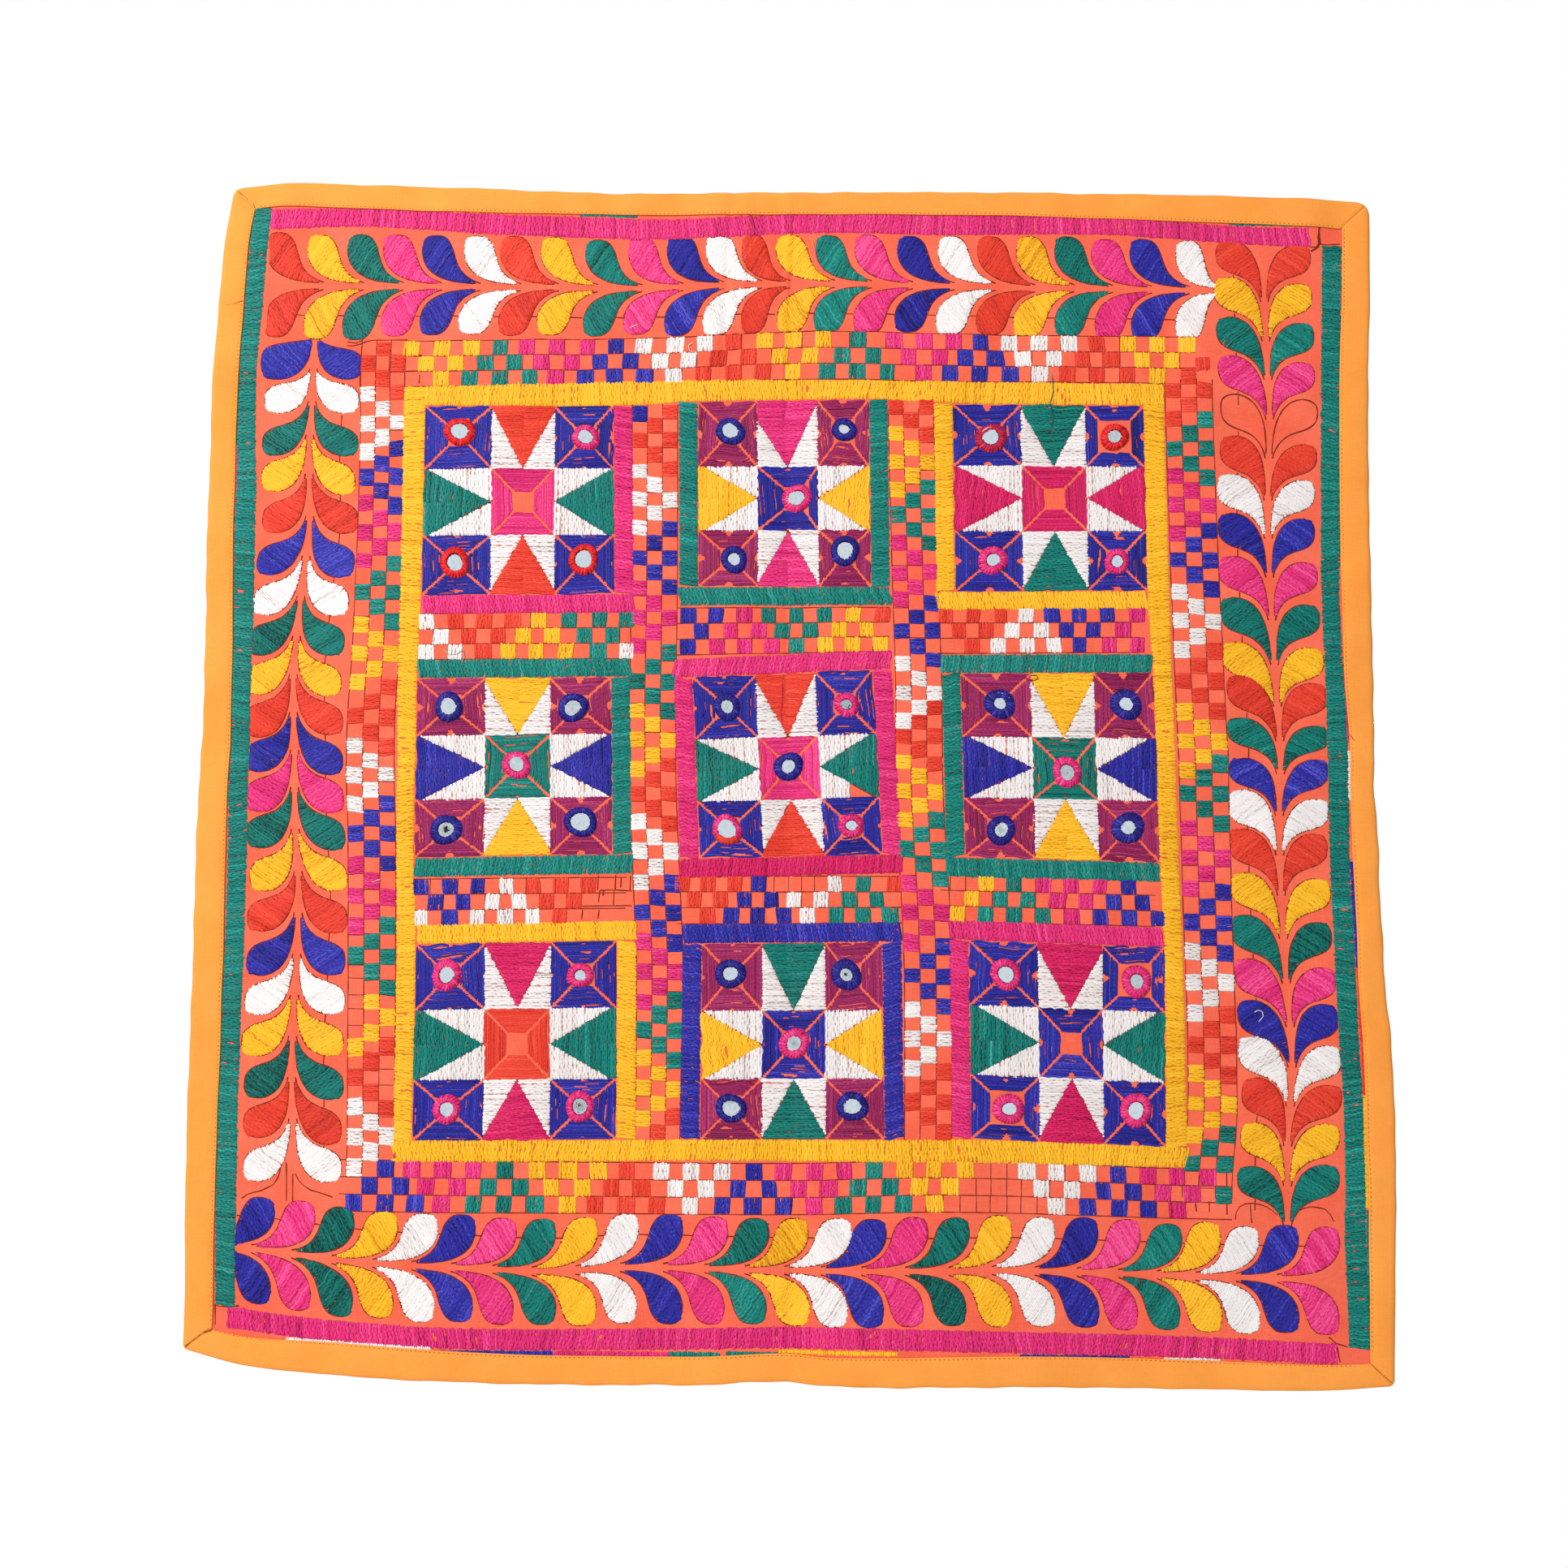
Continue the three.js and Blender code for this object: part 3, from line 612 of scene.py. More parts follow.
def mirror_material():
    """Old silvering: pale, with faint clouds, greyer in places, and flecked black where a dark reflection is
    painted.
    """
    material, shader = new_material("mirror_glass", roughness=0.12, metallic=1.0)
    tree = material.node_tree
    cloud = add_node(tree, "TexNoise", add_node(tree, "TexCoord").outputs["Object"], Scale=420)
    grey_and_reflection = add_node(tree, "Attribute")
    grey_and_reflection.attribute_name = "grey_and_reflection"
    grey_and_reflection_level = grey_and_reflection.outputs["Fac"]
    pale = math_node(tree, "SUBTRACT", cloud.outputs[0], math_node(tree, "MULTIPLY", grey_and_reflection_level, 0.6))
    colour = mix_colours(tree, spread(tree, pale, -0.1, 0.5), SILVER_GREY, SILVER_PALE)
    spot = math_node(tree, "ADD", grey_and_reflection_level, math_node(tree, "MULTIPLY", cloud.outputs[0], 1.6))
    colour = mix_colours(tree, spread(tree, spot, 1.55, 1.7), colour, SILVER_DARK_REFLECTION)
    tree.links.new(colour, shader.inputs["Base Color"])
    return material


def named_colours(names, colours):
    """sRGB byte colours as linear ones, by the names of a group's inputs."""
    return {name: linear(colour) for name, colour in zip(names, colours)}


COTTON_TONES, FLOSS_TONES = ("Main", "Deep"), ("Shade", "Main", "Light")
ground_cotton = grouped_material(
    "ground_cotton", COTTON_GROUP, named_colours(COTTON_TONES, GROUND_COLOURS), 0.25, roughness=0.92,
    specular=0.12)
binding_cotton = grouped_material(
    "binding_cotton", COTTON_GROUP, named_colours(COTTON_TONES, BINDING_COLOURS), 0.2, roughness=0.88,
    specular=0.12)
mirror_glass = mirror_material()
ink_and_edge_shadow = plain_material("drawn_ink_and_edge_shadow", linear(INK_AND_EDGE_SHADOW_COLOUR), roughness=0.95, specular=0.1)
seam_and_crease_shadow_thread = plain_material("seam_and_crease_shadow_thread", linear(SEAM_AND_CREASE_SHADOW_COLOUR), roughness=0.7, specular=0.2)
floss_materials = {
    name: grouped_material(f"floss_{name}", FLOSS_GROUP, named_colours(FLOSS_TONES, colours), 0.35,
                           roughness=0.55, specular=0.14)
    for name, colours in FLOSS.items()}


# Ground cloth and binding.
def ground_cloth():
    """One layer on the folds, its net closer at the press marks, stopping inside the binding's fold."""
    near = np.arange(-4, 4.5, 1.3)
    marks = {way: [near + row[1] for row in PRESSED if row[0] == way] for way in ("down", "across")}
    across = np.linspace(CLOTH_INSET - WIDTH / 2, WIDTH / 2 - CLOTH_INSET, int(WIDTH / CLOTH_NET))
    across = np.unique(np.concatenate([across, *marks["down"]]))
    down = np.linspace(CLOTH_INSET, DROP - CLOTH_INSET, int(DROP / CLOTH_NET))
    down = np.unique(np.concatenate([down, *marks["across"]]))
    a, d = np.meshgrid(across, down)
    faces = net_faces(len(down), len(across))[:, ::-1]
    return make_piece("ground_sheet", lay_flat(a, d, 0.0), faces, ground_cotton)


BINDING_SECTION = [
    # how far in as a share of the width, then in millimetres, and the lift off the cloth's middle
    (1, -1.3, 0.30), (1, -0.3, 0.36), (1, 0.0, 0.75), (1, -0.3, 1.12), (1, -0.7, 1.26), (1, -1.35, 1.02),
    (1, -2.1, 1.34), (1, -4.5, 1.55), (0.5, 0.0, 1.66), (0, 4.0, 1.70), (0, 1.8, 1.58), (0, 0.55, 1.02),
]
STRIP_NET = 240            # points along a strip, between its ends
STRIP_ENDS = [0, 0.5, 1.1, 1.9, 3.0, 4.6]  # from a strip's ends, where the mitres need closer points


def edge_span(side):
    """Where an edge of the flat cloth starts and ends."""
    return (0.0, DROP) if side in ("left", "right") else (-WIDTH / 2, WIDTH / 2)


def in_from(side, off, along):
    """Across and down of the places that lie a distance in from an edge."""
    if side in ("left", "right"):
        return WIDTH / 2 - off if side == "right" else off - WIDTH / 2, along
    return along, DROP - off if side == "bottom" else off


def binding_strip(name, side):
    """A strip folded round an edge: its section runs from the tucked front lip over the fold to the back."""
    start, end = edge_span(side)
    share, inset, lift = np.array(BINDING_SECTION).T
    share = np.concatenate([share, [0], share[::-1]])
    inset = np.concatenate([inset, [0.0], inset[::-1]])
    lift = np.concatenate([lift, [0.0], -lift[::-1]])
    near_end = np.array(STRIP_ENDS) / (end - start)
    t = np.concatenate([near_end, np.linspace(0.01, 0.99, STRIP_NET), 1 - near_end[::-1]])
    middle = start + (end - start) * t
    width = through(BINDING_WIDTHS[side], middle)[:, None]
    off = share * width + inset
    along = start + off + (end - start - 2 * off) * t[:, None]
    uneven = np.sin(along / 6.1 + len(side)) * np.sin(along / 16.7) * np.sin(math.pi * t[:, None])
    off = off - 0.45 * uneven * np.clip(1 - off / width, 0, 1)
    # A groove at each mitre, and slow waves of the strip's slack
    from_mitre = np.minimum(t, 1 - t)[:, None] * (end - start - 2 * off)
    groove = 1 - 0.4 * np.exp(-((from_mitre / 0.9) ** 2))
    slack = np.sin(along / 7.3 + 1.3 * np.sin(along / 31)) * np.sin(along / 19.7 + len(side))
    loose = 0.22 * slack * np.clip(off / 5, 0, 1) * np.clip((width - off) / 4, 0, 1)
    height = (lift + np.sign(lift) * loose) * groove
    faces = net_faces(*off.shape)
    if side in ("top", "right"):
        faces = faces[:, ::-1]
    return make_piece(name, lay_flat(*in_from(side, off, along), height), faces, binding_cotton)


# How far the machine stitches lie in from the binding's inner edge.
STITCHED_IN = {"top": 1.25, "bottom": 1.15, "left": 1.4, "right": 1.7}
TOPSTITCH_ENDS = 20.0      # how far from the corners the machine stitches start and stop
TOPSTITCH_SHOWN = 0.27     # share of a machine stitch that shows


def topstitch(side):
    """Machine stitches along the binding's inner edge, sunk but for a short dark dot at the needle hole."""
    start, end = edge_span(side)
    at = np.arange(start + TOPSTITCH_ENDS, end - TOPSTITCH_ENDS, TOPSTITCH)
    off = through(BINDING_WIDTHS[side], at) - STITCHED_IN[side] + 0.2 * np.sin(at / 23)
    places = on_field(*in_from(side, off, at))
    step = np.diff(places, axis=0)
    return places[:-1], places[:-1] + step * TOPSTITCH_SHOWN


# Painted shadow lines on the binding, in the folds at the mitres, a slanted join and a crease: (across, down)
# places, and width.
BINDING_CREASE_SHADOWS = [
    ([(-379, 2), (-374, 6), (-369.5, 10), (-366.5, 11.5), (-365, 16)], 0.45),
    ([(-379.5, 775), (-376, 771), (-369, 763.5), (-363, 760)], 1.1),
    ([(379.5, 775), (372.5, 769), (365.8, 762)], 0.3), ([(364.5, 362), (370, 368.5), (378.5, 376)], 0.5),
    ([(-379, 84), (-371, 83), (-365, 81)], 0.4),
]

# Embroidery.
BLOCKS = [
    # corners from the upper left, clockwise; splits across and down; corner squares; rings; triangles
    # above and below; triangles at the sides; middle; ring in the middle; bars; corner squares left open
    # round the ring (column, row); shoulders of the triangle above; bare share of a white tip; mirrors,
    # with their windows' and rings' radii
    dict(corners=[(-248, 233), (-125, 235), (-121, 110), (-246, 107)], across=(0.355, 0.69),
         down=(0.335, 0.69), square="blue", rings=("scarlet", "pink", "scarlet", "scarlet"), ends="red",
         sides="green", middle="pink", bars={"right": "pink", "bottom": "pink"},
         mirrors=[(-225, 216, 5.9, 9.8), (-142, 213.5, 5.2, 8.8), (-225.5, 128.5, 5.6, 9.7),
                  (-141.5, 132, 6.2, 9.8)]),
    dict(corners=[(-68.5, 239.5), (43.5, 243), (46.5, 118), (-65.5, 116)], across=(0.345, 0.70),
         down=(0.356, 0.70), shoulders=(0.28, 0.03), square="plum", rings=("blue_in_shade",) * 4, ends="pink",
         sides="yellow", middle="blue", ring="pink", bars={"left": "green", "right": "green",
                                                           "bottom": "green"},
         mirrors=[(-47, 220, 5.5, 9.3), (28, 222.5, 3.8, 7.9), (-43, 134, 4.6, 8.8), (29.5, 141, 6.0, 9.6),
                  (-2.5, 176, 5.4, 9.4)]),
    dict(corners=[(100, 241.5), (225.5, 242), (227.5, 118.5), (102.5, 115.5)], across=(0.355, 0.695),
         down=(0.33, 0.68), square="blue", rings=("ruby", "scarlet", "pink", "pink"), ends="green",
         sides="crimson", middle="crimson", bars={"left": "yellow", "bottom": "yellow"}, open=[(2, 0)],
         mirrors=[(125, 219, 5.5, 10.1), (206.5, 221, 4.9, 9.0), (126.5, 136.5, 4.7, 9.5),
                  (208, 137, 4.5, 8.2)]),
    dict(corners=[(-247, 51), (-122, 54), (-118, -60.5), (-244.5, -65)], across=(0.352, 0.688),
         down=(0.32, 0.68), square="plum", rings=("blue_in_shade",) * 4, ends="yellow", sides="blue",
         middle="green", ring="pink", bars={"top": "green", "right": "green", "bottom": "green"},
         mirrors=[(-226, 33, 5.7, 9.4), (-145.5, 34, 5.5, 9.6), (-225, -47, 5.5, 9.9),
                  (-138.5, -40.5, 6.7, 10.0), (-181, -4, 5.1, 9.1)]),
    dict(corners=[(-68, 55), (48, 62), (56, -58), (-61, -62)], across=(0.348, 0.682),
         down=(0.346, 0.693), square="blue", rings=("blue_in_shade", "pink", "pink red", "pink"), ends="red",
         sides="green", middle="pink", ring="blue_in_shade", bare=0.5,
         bars={"left": "pink", "right": "pink", "top": "pink", "bottom": "crimson"},
         mirrors=[(-45.5, 36, 4.7, 8.8), (32, 39, 4.0, 7.9), (-44, -44, 6.3, 9.6), (36, -40, 4.1, 7.8),
                  (-5, -2, 4.8, 9.3)]),
    dict(corners=[(106.5, 60.5), (231, 63), (234.5, -60), (110, -58.5)], across=(0.36, 0.69),
         down=(0.348, 0.68), square="plum", rings=("blue_in_shade",) * 4, ends="yellow", sides="blue",
         middle="green", ring="pink", bars={"left": "green", "top": "green", "bottom": "green"},
         mirrors=[(131.5, 41, 4.3, 9.8), (213.5, 42, 4.8, 10.1), (132.5, -41.5, 4.8, 9.3),
                  (214.5, -38.5, 4.9, 10.2), (175, -3, 5.2, 9.6)]),
    dict(corners=[(-241, -121.5), (-113.5, -117), (-111, -242), (-238.5, -244.5)], across=(0.343, 0.673),
         down=(0.337, 0.697), square="blue", rings=("pink",) * 4, ends="crimson", sides="green",
         middle="red", bars={"right": "yellow", "top": "yellow"},
         mirrors=[(-221, -140.5, 5.3, 9.7), (-136, -139, 4.1, 8.0), (-218, -225, 4.9, 9.0),
                  (-134, -222, 5.4, 9.3)]),
    dict(corners=[(-58, -118), (56, -115), (59, -239), (-57, -241)], across=(0.335, 0.685),
         down=(0.346, 0.695), square="plum", rings=("blue_in_shade",) * 4, ends="green", sides="yellow",
         middle="blue", ring="pink", bars={"left": "blue", "right": "blue", "top": "blue"},
         mirrors=[(-40, -136.5, 5.2, 9.4), (34, -136, 4.6, 9.8), (-38, -221.5, 5.8, 9.3),
                  (39, -219, 5.6, 9.5), (1.5, -180, 5.0, 9.5)]),
    dict(corners=[(112.5, -113), (237, -115.5), (238, -241), (115, -237.5)], across=(0.352, 0.683),
         down=(0.327, 0.68), square="blue", rings=("pink",) * 4, ends="crimson", sides="green",
         middle="blue", bars={"left": "pink", "top": "pink"}, open=[(2, 0), (0, 2)],
         mirrors=[(136, -134, 5.7, 9.8), (219.5, -137, 4.9, 9.8), (138, -219, 4.6, 9.7),
                  (219, -218.5, 5.5, 10.2)]),
]
MIRROR_NAMES = ("upLeft", "upRight", "lowLeft", "lowRight", "middle")
# Blocks whose corner squares have triangles of dots, and the one whose middle square has them.
DOTTED_BLOCKS, DOTTED_MIDDLE = (2, 3, 4, 6, 9), 9
# Marks on single mirrors, by block and place: grey all over, and black in the middle, a painted dark
# reflection.
MIRROR_GREY_AND_REFLECTION = {(3, 1): (0.2, 0.3), (4, 1): (0.3, 0), (4, 2): (0.1, 0.95), (4, 4): (0.2, 0), (5, 0): (0.1, 0.2),
        (5, 1): (0.6, 0.1), (6, 2): (0, 0.6), (6, 4): (0.55, 0), (7, 3): (0.4, 0.45), (8, 1): (0.2, 0.5),
        (8, 2): (0.25, 0), (8, 4): (0.1, 0.75), (9, 1): (0.5, 0)}
# Bare dots in the middle of a square's sides: (in from the side, along it, half the dot's length).
DOT = [(0.6, 0, 1.1)]
DOTS = [(0.4, 0, 0.6), (0.4, -2, 0.55), (0.4, 2, 0.55), (1.9, -1, 0.5), (1.9, 1, 0.5), (3.2, 0, 0.5)]
# Share of a square's threads that part and leave a bare slit, by floss.
BARE_SLITS = {"blue": 0.15, "plum": 0.12, "green": 0.1}
SLIT_SHARE = 0.03          # of the other flosses
# How much darker than the floss its squares and triangles are: painted shade, as their threads lie at another
# angle to the light than the bars'.
SQUARE_TONES = {"blue": -0.08, "green": -0.1}
# Half the bare middle of a corner square, plain or left open, and of a middle square with or without a ring.
HOLE, OPEN_HOLE, RING_HOLE, MIDDLE_HOLE = 7.5, 11.0, 8.0, 7.2
FIRST_THREAD = 0.45        # of a square, in from its side, in threads


def mitred_square(floss, corners, centre, hole, dotted=False, pitch=0.82, gap=1.1):
    """Four quarters whose threads run along the nearest side, with bare lines left between the quarters.

    Here and there a thread parts and leaves a bare slit. In the middle of each side a bare dot is left, or
    a small triangle of dots.
    """
    corners, centre = np.asarray(corners, float), np.asarray(centre, float)
    for k in range(4):
        a, b = corners[k], corners[(k + 1) % 4]
        side = (b - a) / lengths(b - a)
        deep = abs(side[0] * (centre - a)[1] - side[1] * (centre - a)[0])
        count = max(2, int((deep - hole) / pitch))
        at = np.arange(count) + FIRST_THREAD + rng.normal(0, 0.12, count)
        share = (at / count * (1 - hole / deep))[:, None]
        trim = side * (gap + 0.2 * rng.normal(size=(count, 1)))
        start, end = a + (centre - a) * share + trim, b + (centre - b) * share - trim
        length = lengths(end - start)
        gaps = [(i, length[i] / 2 + off, half) for inward, off, half in (DOTS if dotted else DOT)
                for i in np.flatnonzero(np.abs((at - FIRST_THREAD) * pitch - inward) < 0.55)]
        for i in np.flatnonzero(rng.random(count) < BARE_SLITS.get(floss, SLIT_SHARE)):
            if i > 4 or not dotted:
                gaps.append((i, length[i] * rng.uniform(0.3, 0.7), rng.uniform(1.0, 4.5)))
        tone = SQUARE_TONES.get(floss, 0) + 0.05 * rng.normal() + rng.normal(0, 0.05, count)
        sew_parted(floss, start, end, gaps, width=pitch * COVER, height=0.34, wave=0.03,
                   sway=0.4 * rng.normal(), tone=tone, stray=0.13)


VEINED = 0.42              # share of a star's triangle that is sewn in two halves


def star_side(base_a, base_b, inner_b, inner_a, floss, bare=0.0, shoulders=None, pitch=1.3):
    """A coloured triangle that points inwards, veined from its base, between two white ones.

    Its sides run along the cell for a short share, the shoulders, before they slant to its point. A bare
    share of the second white one's tip is left without stitches.
    """
    apex = (inner_a + inner_b) / 2
    deep = lengths(apex - (base_a + base_b) / 2)
    count = int(deep / pitch)
    share = ((np.arange(count) + 0.5) / count)[:, None]
    shoulders = rng.uniform(0, 0.1, 2) if shoulders is None else shoulders
    bends = [base_a + (inner_a - base_a) * shoulders[0], base_b + (inner_b - base_b) * shoulders[1]]
    outers = [base_a + (inner_a - base_a) * share, base_b + (inner_b - base_b) * share]
    edges = [np.where(share < part, outer, bend + (apex - bend) * (share - part) / (1 - part))
             for outer, bend, part in zip(outers, bends, shoulders)]
    along = (base_b - base_a) / lengths(base_b - base_a)
    how = dict(width=pitch * COVER, wave=0.2 if floss == "red" else 0.36, sway=0.35 * rng.normal(),
               tone=SQUARE_TONES.get(floss, 0))
    veined = share[:, 0] < VEINED
    middle = (edges[0] + edges[1]) / 2 + along * rng.normal(0, 0.25, (count, 1))
    sew(floss, edges[0][veined], (middle + along * 0.3)[veined], **how)
    sew(floss, (middle - along * 0.3)[veined], edges[1][veined], **how)
    sew(floss, edges[0][~veined], edges[1][~veined], **how)
    for outer, edge, bend, inner, way in zip(outers, edges, bends, (inner_a, inner_b), (-1, 1)):
        kept = share[:, 0] > (bare if way > 0 else 0)
        sew("white", (outer + way * along * 0.35)[kept], edge[kept], width=pitch * COVER, wave=0.42,
            height=0.62, stray=0.3)
        # Lines between the triangles: the drawn pattern, and painted shadow between the parts.
        draw([bend, apex], 1.1)
        draw([bend, inner, apex], 0.9)


RIB_SPACING = 1.7          # of a ring, half way between its two radii
RIB_SLANT = 0.16           # how far a rib turns on its way in, in radians


def ring(flosses, centre, inner, outer):
    """A stitched ring that holds a mirror: slanted ribs that climb from the cloth over the mirror's rim.

    Of two flosses the second mends the lower third.
    """
    bends = rng.uniform(0, 6, 2)
    parts = [(0.0, 1.0)] if len(flosses) == 1 else [(-0.1, 0.58), (0.58, 0.9)]
    for floss, (start, end) in zip(flosses, parts):
        count = int((end - start) * math.pi * (inner + outer) / RIB_SPACING)
        turn = np.linspace(start, end, count + 1) * 2 * math.pi
        oval = 1 + 0.06 * np.cos(2 * turn + bends[0]) + 0.03 * np.cos(3 * turn + bends[1])

        def around(radius, shift):
            way = np.column_stack([np.cos(turn + shift), np.sin(turn + shift)])
            return centre + way * (radius * oval)[:, None]

        sew(floss, around(outer, 0)[:-1], around(inner, RIB_SLANT)[:-1], width=2.3, height=0.62, lift=0.4,
            lift_end=2.4, wave=0.0, tone=rng.normal(0.04, 0.05, count), stray=0.2)
        # A dark thread round the window's edge (the lip, tone -0.42) is painted shadow cast by the ring's
        # inner loops.
        loops, lip = around(inner + 0.5, RIB_SLANT), around(inner - 0.25, RIB_SLANT)[::2]
        foot = around(outer - 0.3, 0.05)
        for line, width, height, lift, tone, stray in (
                (loops, 1.3, 0.5, 2.2, 0.05, 0.14), (lip, 0.9, 0.2, 1.8, -0.42, 0.1),
                (foot, 1.2, 0.5, 0.4, -0.1, 0.1)):
            sew(floss, line[:-1], line[1:], width=width, height=height, lift=lift, wave=0.0, tone=tone,
                stray=stray)


mirror_places = []


def star_block(number, row):
    """A block of three by three: squares at the corners and middle, star points between them."""
    corners = np.array(row["corners"], float)

    def place(u, v):
        top, bottom = corners[0] + (corners[1] - corners[0]) * u, corners[3] + (corners[2] - corners[3]) * u
        return top + (bottom - top) * v

    us, vs = (0, *row["across"], 1), (0, *row["down"], 1)

    def cell(i, k):
        return np.array([place(us[i], vs[k]), place(us[i + 1], vs[k]), place(us[i + 1], vs[k + 1]),
                         place(us[i], vs[k + 1])])

    mirrors = np.array(row["mirrors"])
    for (i, k), floss, mirror in zip(((0, 0), (2, 0), (0, 2), (2, 2)), row["rings"], mirrors):
        square = cell(i, k)
        hole = OPEN_HOLE if (i, k) in row.get("open", ()) else HOLE
        mitred_square(row["square"], square, (square.mean(axis=0) + mirror[:2]) / 2, hole,
                      number in DOTTED_BLOCKS)
        ring(floss.split(), mirror[:2], *mirror[2:])
    middle = cell(1, 1)
    centre, hole = (mirrors[4, :2], RING_HOLE) if "ring" in row else (middle.mean(axis=0), MIDDLE_HOLE)
    mitred_square(row["middle"], middle, centre, hole, number == DOTTED_MIDDLE)
    if "ring" in row:
        ring([row["ring"]], centre, *mirrors[4, 2:])
    mirror_places.extend((mirror, MIRROR_GREY_AND_REFLECTION.get((number, i), (0, 0))) for i, mirror in enumerate(mirrors))
    top, right, bottom, left = cell(1, 0), cell(2, 1), cell(1, 2), cell(0, 1)
    star_side(top[0], top[1], top[2], top[3], row["ends"], shoulders=row.get("shoulders"))
    star_side(bottom[3], bottom[2], bottom[1], bottom[0], row["ends"])
    star_side(left[0], left[3], left[2], left[1], row["sides"])
    star_side(right[1], right[2], right[3], right[0], row["sides"], bare=row.get("bare", 0.0))
    block_bars(corners, row["bars"])


BAR, BAR_GAP = 12.6, 0.5   # width of a block's bars, and their distance from the block


def block_bars(corners, bars):
    """Bars round a block: threads run across each bar, and the level bars take the corners."""
    down = (corners[3] - corners[0]) / lengths(corners[3] - corners[0])
    over = (corners[1] - corners[0]) / lengths(corners[1] - corners[0])
    near, far = BAR_GAP, BAR_GAP + BAR
    for side, floss in bars.items():
        if side in ("top", "bottom"):
            a, b, out = (corners[0], corners[1], -down) if side == "top" else (corners[3], corners[2], down)
            a = a - over * (far if "left" in bars else 0)
            b = b + over * (far if "right" in bars else 0)
        else:
            a, b, out = (corners[0], corners[3], -over) if side == "left" else (corners[1], corners[2], over)
        fill(floss, [a + out * far, b + out * far], [a + out * near, b + out * near], pitch=1.2,
             lean=rng.choice([-1, 1]) * rng.uniform(1.2, 2.8), wave=0.46, height=0.6, sway=0.5 * rng.normal())


# Long bars: floss, upright, from and to, then rows of (place along, outer edge, inner edge). The first four
# are the outer ones, in the order top, left, right, bottom.
LONG_BARS = [
    ("pink", False, (-356, 336),
     [(-350, 367, 353), (-300, 368.5, 356), (-200, 366, 352), (-100, 364.5, 350.5), (0, 370, 357),
      (100, 371, 357.5), (200, 371.5, 359.5), (300, 366, 354), (336, 366, 353)]),
    ("green", True, (-350, 368),
     [(-348, -360.5, -348), (-200, -364, -351), (-100, -364, -352), (0, -367, -354.5),
      (150, -370.5, -357), (250, -373, -361), (368, -368.5, -356)]),
    ("green", True, (-364, 353),
     [(-360, 367, 353), (-300, 364.2, 351), (-240, 363.8, 351.2), (-210, 362.6, 350.3),
      (-180, 360.8, 348.3), (-105, 358.9, 345.7), (-60, 357.3, 344.7), (0, 357.2, 343.8),
      (40, 356.6, 343.5), (70, 355, 343), (115, 353.4, 341.8), (140, 354.2, 341.6), (250, 355.5, 343),
      (350, 358, 345)]),
    ("pink", False, (-352, 346),
     [(-345, -364, -351), (-300, -369, -356), (-200, -373.5, -361), (-100, -373, -360), (0, -370, -357),
      (100, -370, -357), (250, -372, -359), (340, -374, -361.5)]),
    ("yellow", False, (-249.5, 239),
     [(-263, 246, 233), (-248, 246.5, 233.8), (-125, 252, 235.8), (-68, 254.5, 240.3), (43, 256.5, 243.6),
      (100, 257, 242.6), (239, 257.5, 243)]),
    ("yellow", False, (-251.5, 252),
     [(-251.5, -258.5, -245.2), (-111, -256, -242.8), (-57, -254.5, -241.6), (59, -253.5, -239.8),
      (115, -253, -238.6), (252, -254, -241.6)]),
    ("yellow", True, (-245, 246.5),
     [(-258, -250.5, -239.2), (-121, -253.8, -241.8), (-65, -256.3, -245.2), (51, -260, -247.6),
      (107, -260.6, -246.8), (247, -263, -248.6)]),
    ("yellow", True, (-241, 244),
     [(-254, 252, 238.4), (-115, 249, 237.4), (-60, 247, 235), (63, 243.5, 231.4), (118, 242, 228),
      (257, 239, 225.8)]),
]

# Narrow stitched slips next to the binding: floss, upright, from, to, near edge there and there, width.
SLIPS = [
    ("white", False, -314, -223, -371.2, -374.6, 2.9), ("blue", False, -222, -147, -377.0, -377.0, 2.8),
    ("pink", False, -147, -74, -377.0, -377.0, 3.0), ("green", False, -74, -42, -376.6, -376.6, 3.2),
    ("green", False, -38, -5, -375.4, -375.4, 3.0), ("yellow", False, -5, 69, -373.4, -373.4, 2.6),
    ("blue", False, 146, 215, -373.2, -373.2, 2.0), ("white", False, 237, 272, -374.0, -374.0, 1.8),
    ("pink", True, 20, 66, 357.0, 354.8, 2.4), ("white", True, -18, 14, 357.0, 356.6, 2.2),
    ("blue", True, -126, -58, 359.6, 357.2, 2.2), ("red", True, -206, -127, 362.6, 360.0, 2.6),
    ("yellow", True, -277, -207, 363.9, 362.7, 2.6), ("green", True, -336, -279, 364.6, 364.2, 2.0),
    ("yellow", False, -235, -200, 366.8, 366.8, 1.8), ("green", False, -150, -112, 365.2, 365.2, 2.2),
    ("green", False, 283, 340, 367.0, 367.0, 2.6), ("pink", True, 160, 205, -373.4, -373.4, 2.4),
    ("pink", True, -265, -232, -365.6, -365.6, 2.0),
]
PARTED = 0.035             # share of a long bar's threads


def long_bar(floss, upright, ends, rows, pitch=1.25):
    """A long bar of threads that run across it, slanting this way and that, a few of them parted."""
    rows = np.array(rows, float)
    at = np.arange(ends[0] + 0.5, ends[1], pitch)
    outer, inner = through(rows[:, [0, 1]], at), through(rows[:, [0, 2]], at)
    slant = 0.9 * np.sin(at / 57) + 0.5 * np.sin(at / 19)
    patches = 0.03 * np.sin(at / 0.9 + 2 * np.sin(at / 11)) + 0.03 * np.sin(at / 23) - 0.02
    pairs = placed(at + slant, outer, upright), placed(at - slant, inner, upright)
    length = lengths(pairs[1] - pairs[0])
    gaps = [(i, length[i] * rng.uniform(0.25, 0.75), rng.uniform(1.0, 2.6))
            for i in np.flatnonzero(rng.random(len(at)) < PARTED)]
    sew_parted(floss, *pairs, gaps, width=pitch * COVER, wave=0.46, height=0.6, sway=0.45 * np.sin(at / 31),
               tone=patches, stray=0.26)


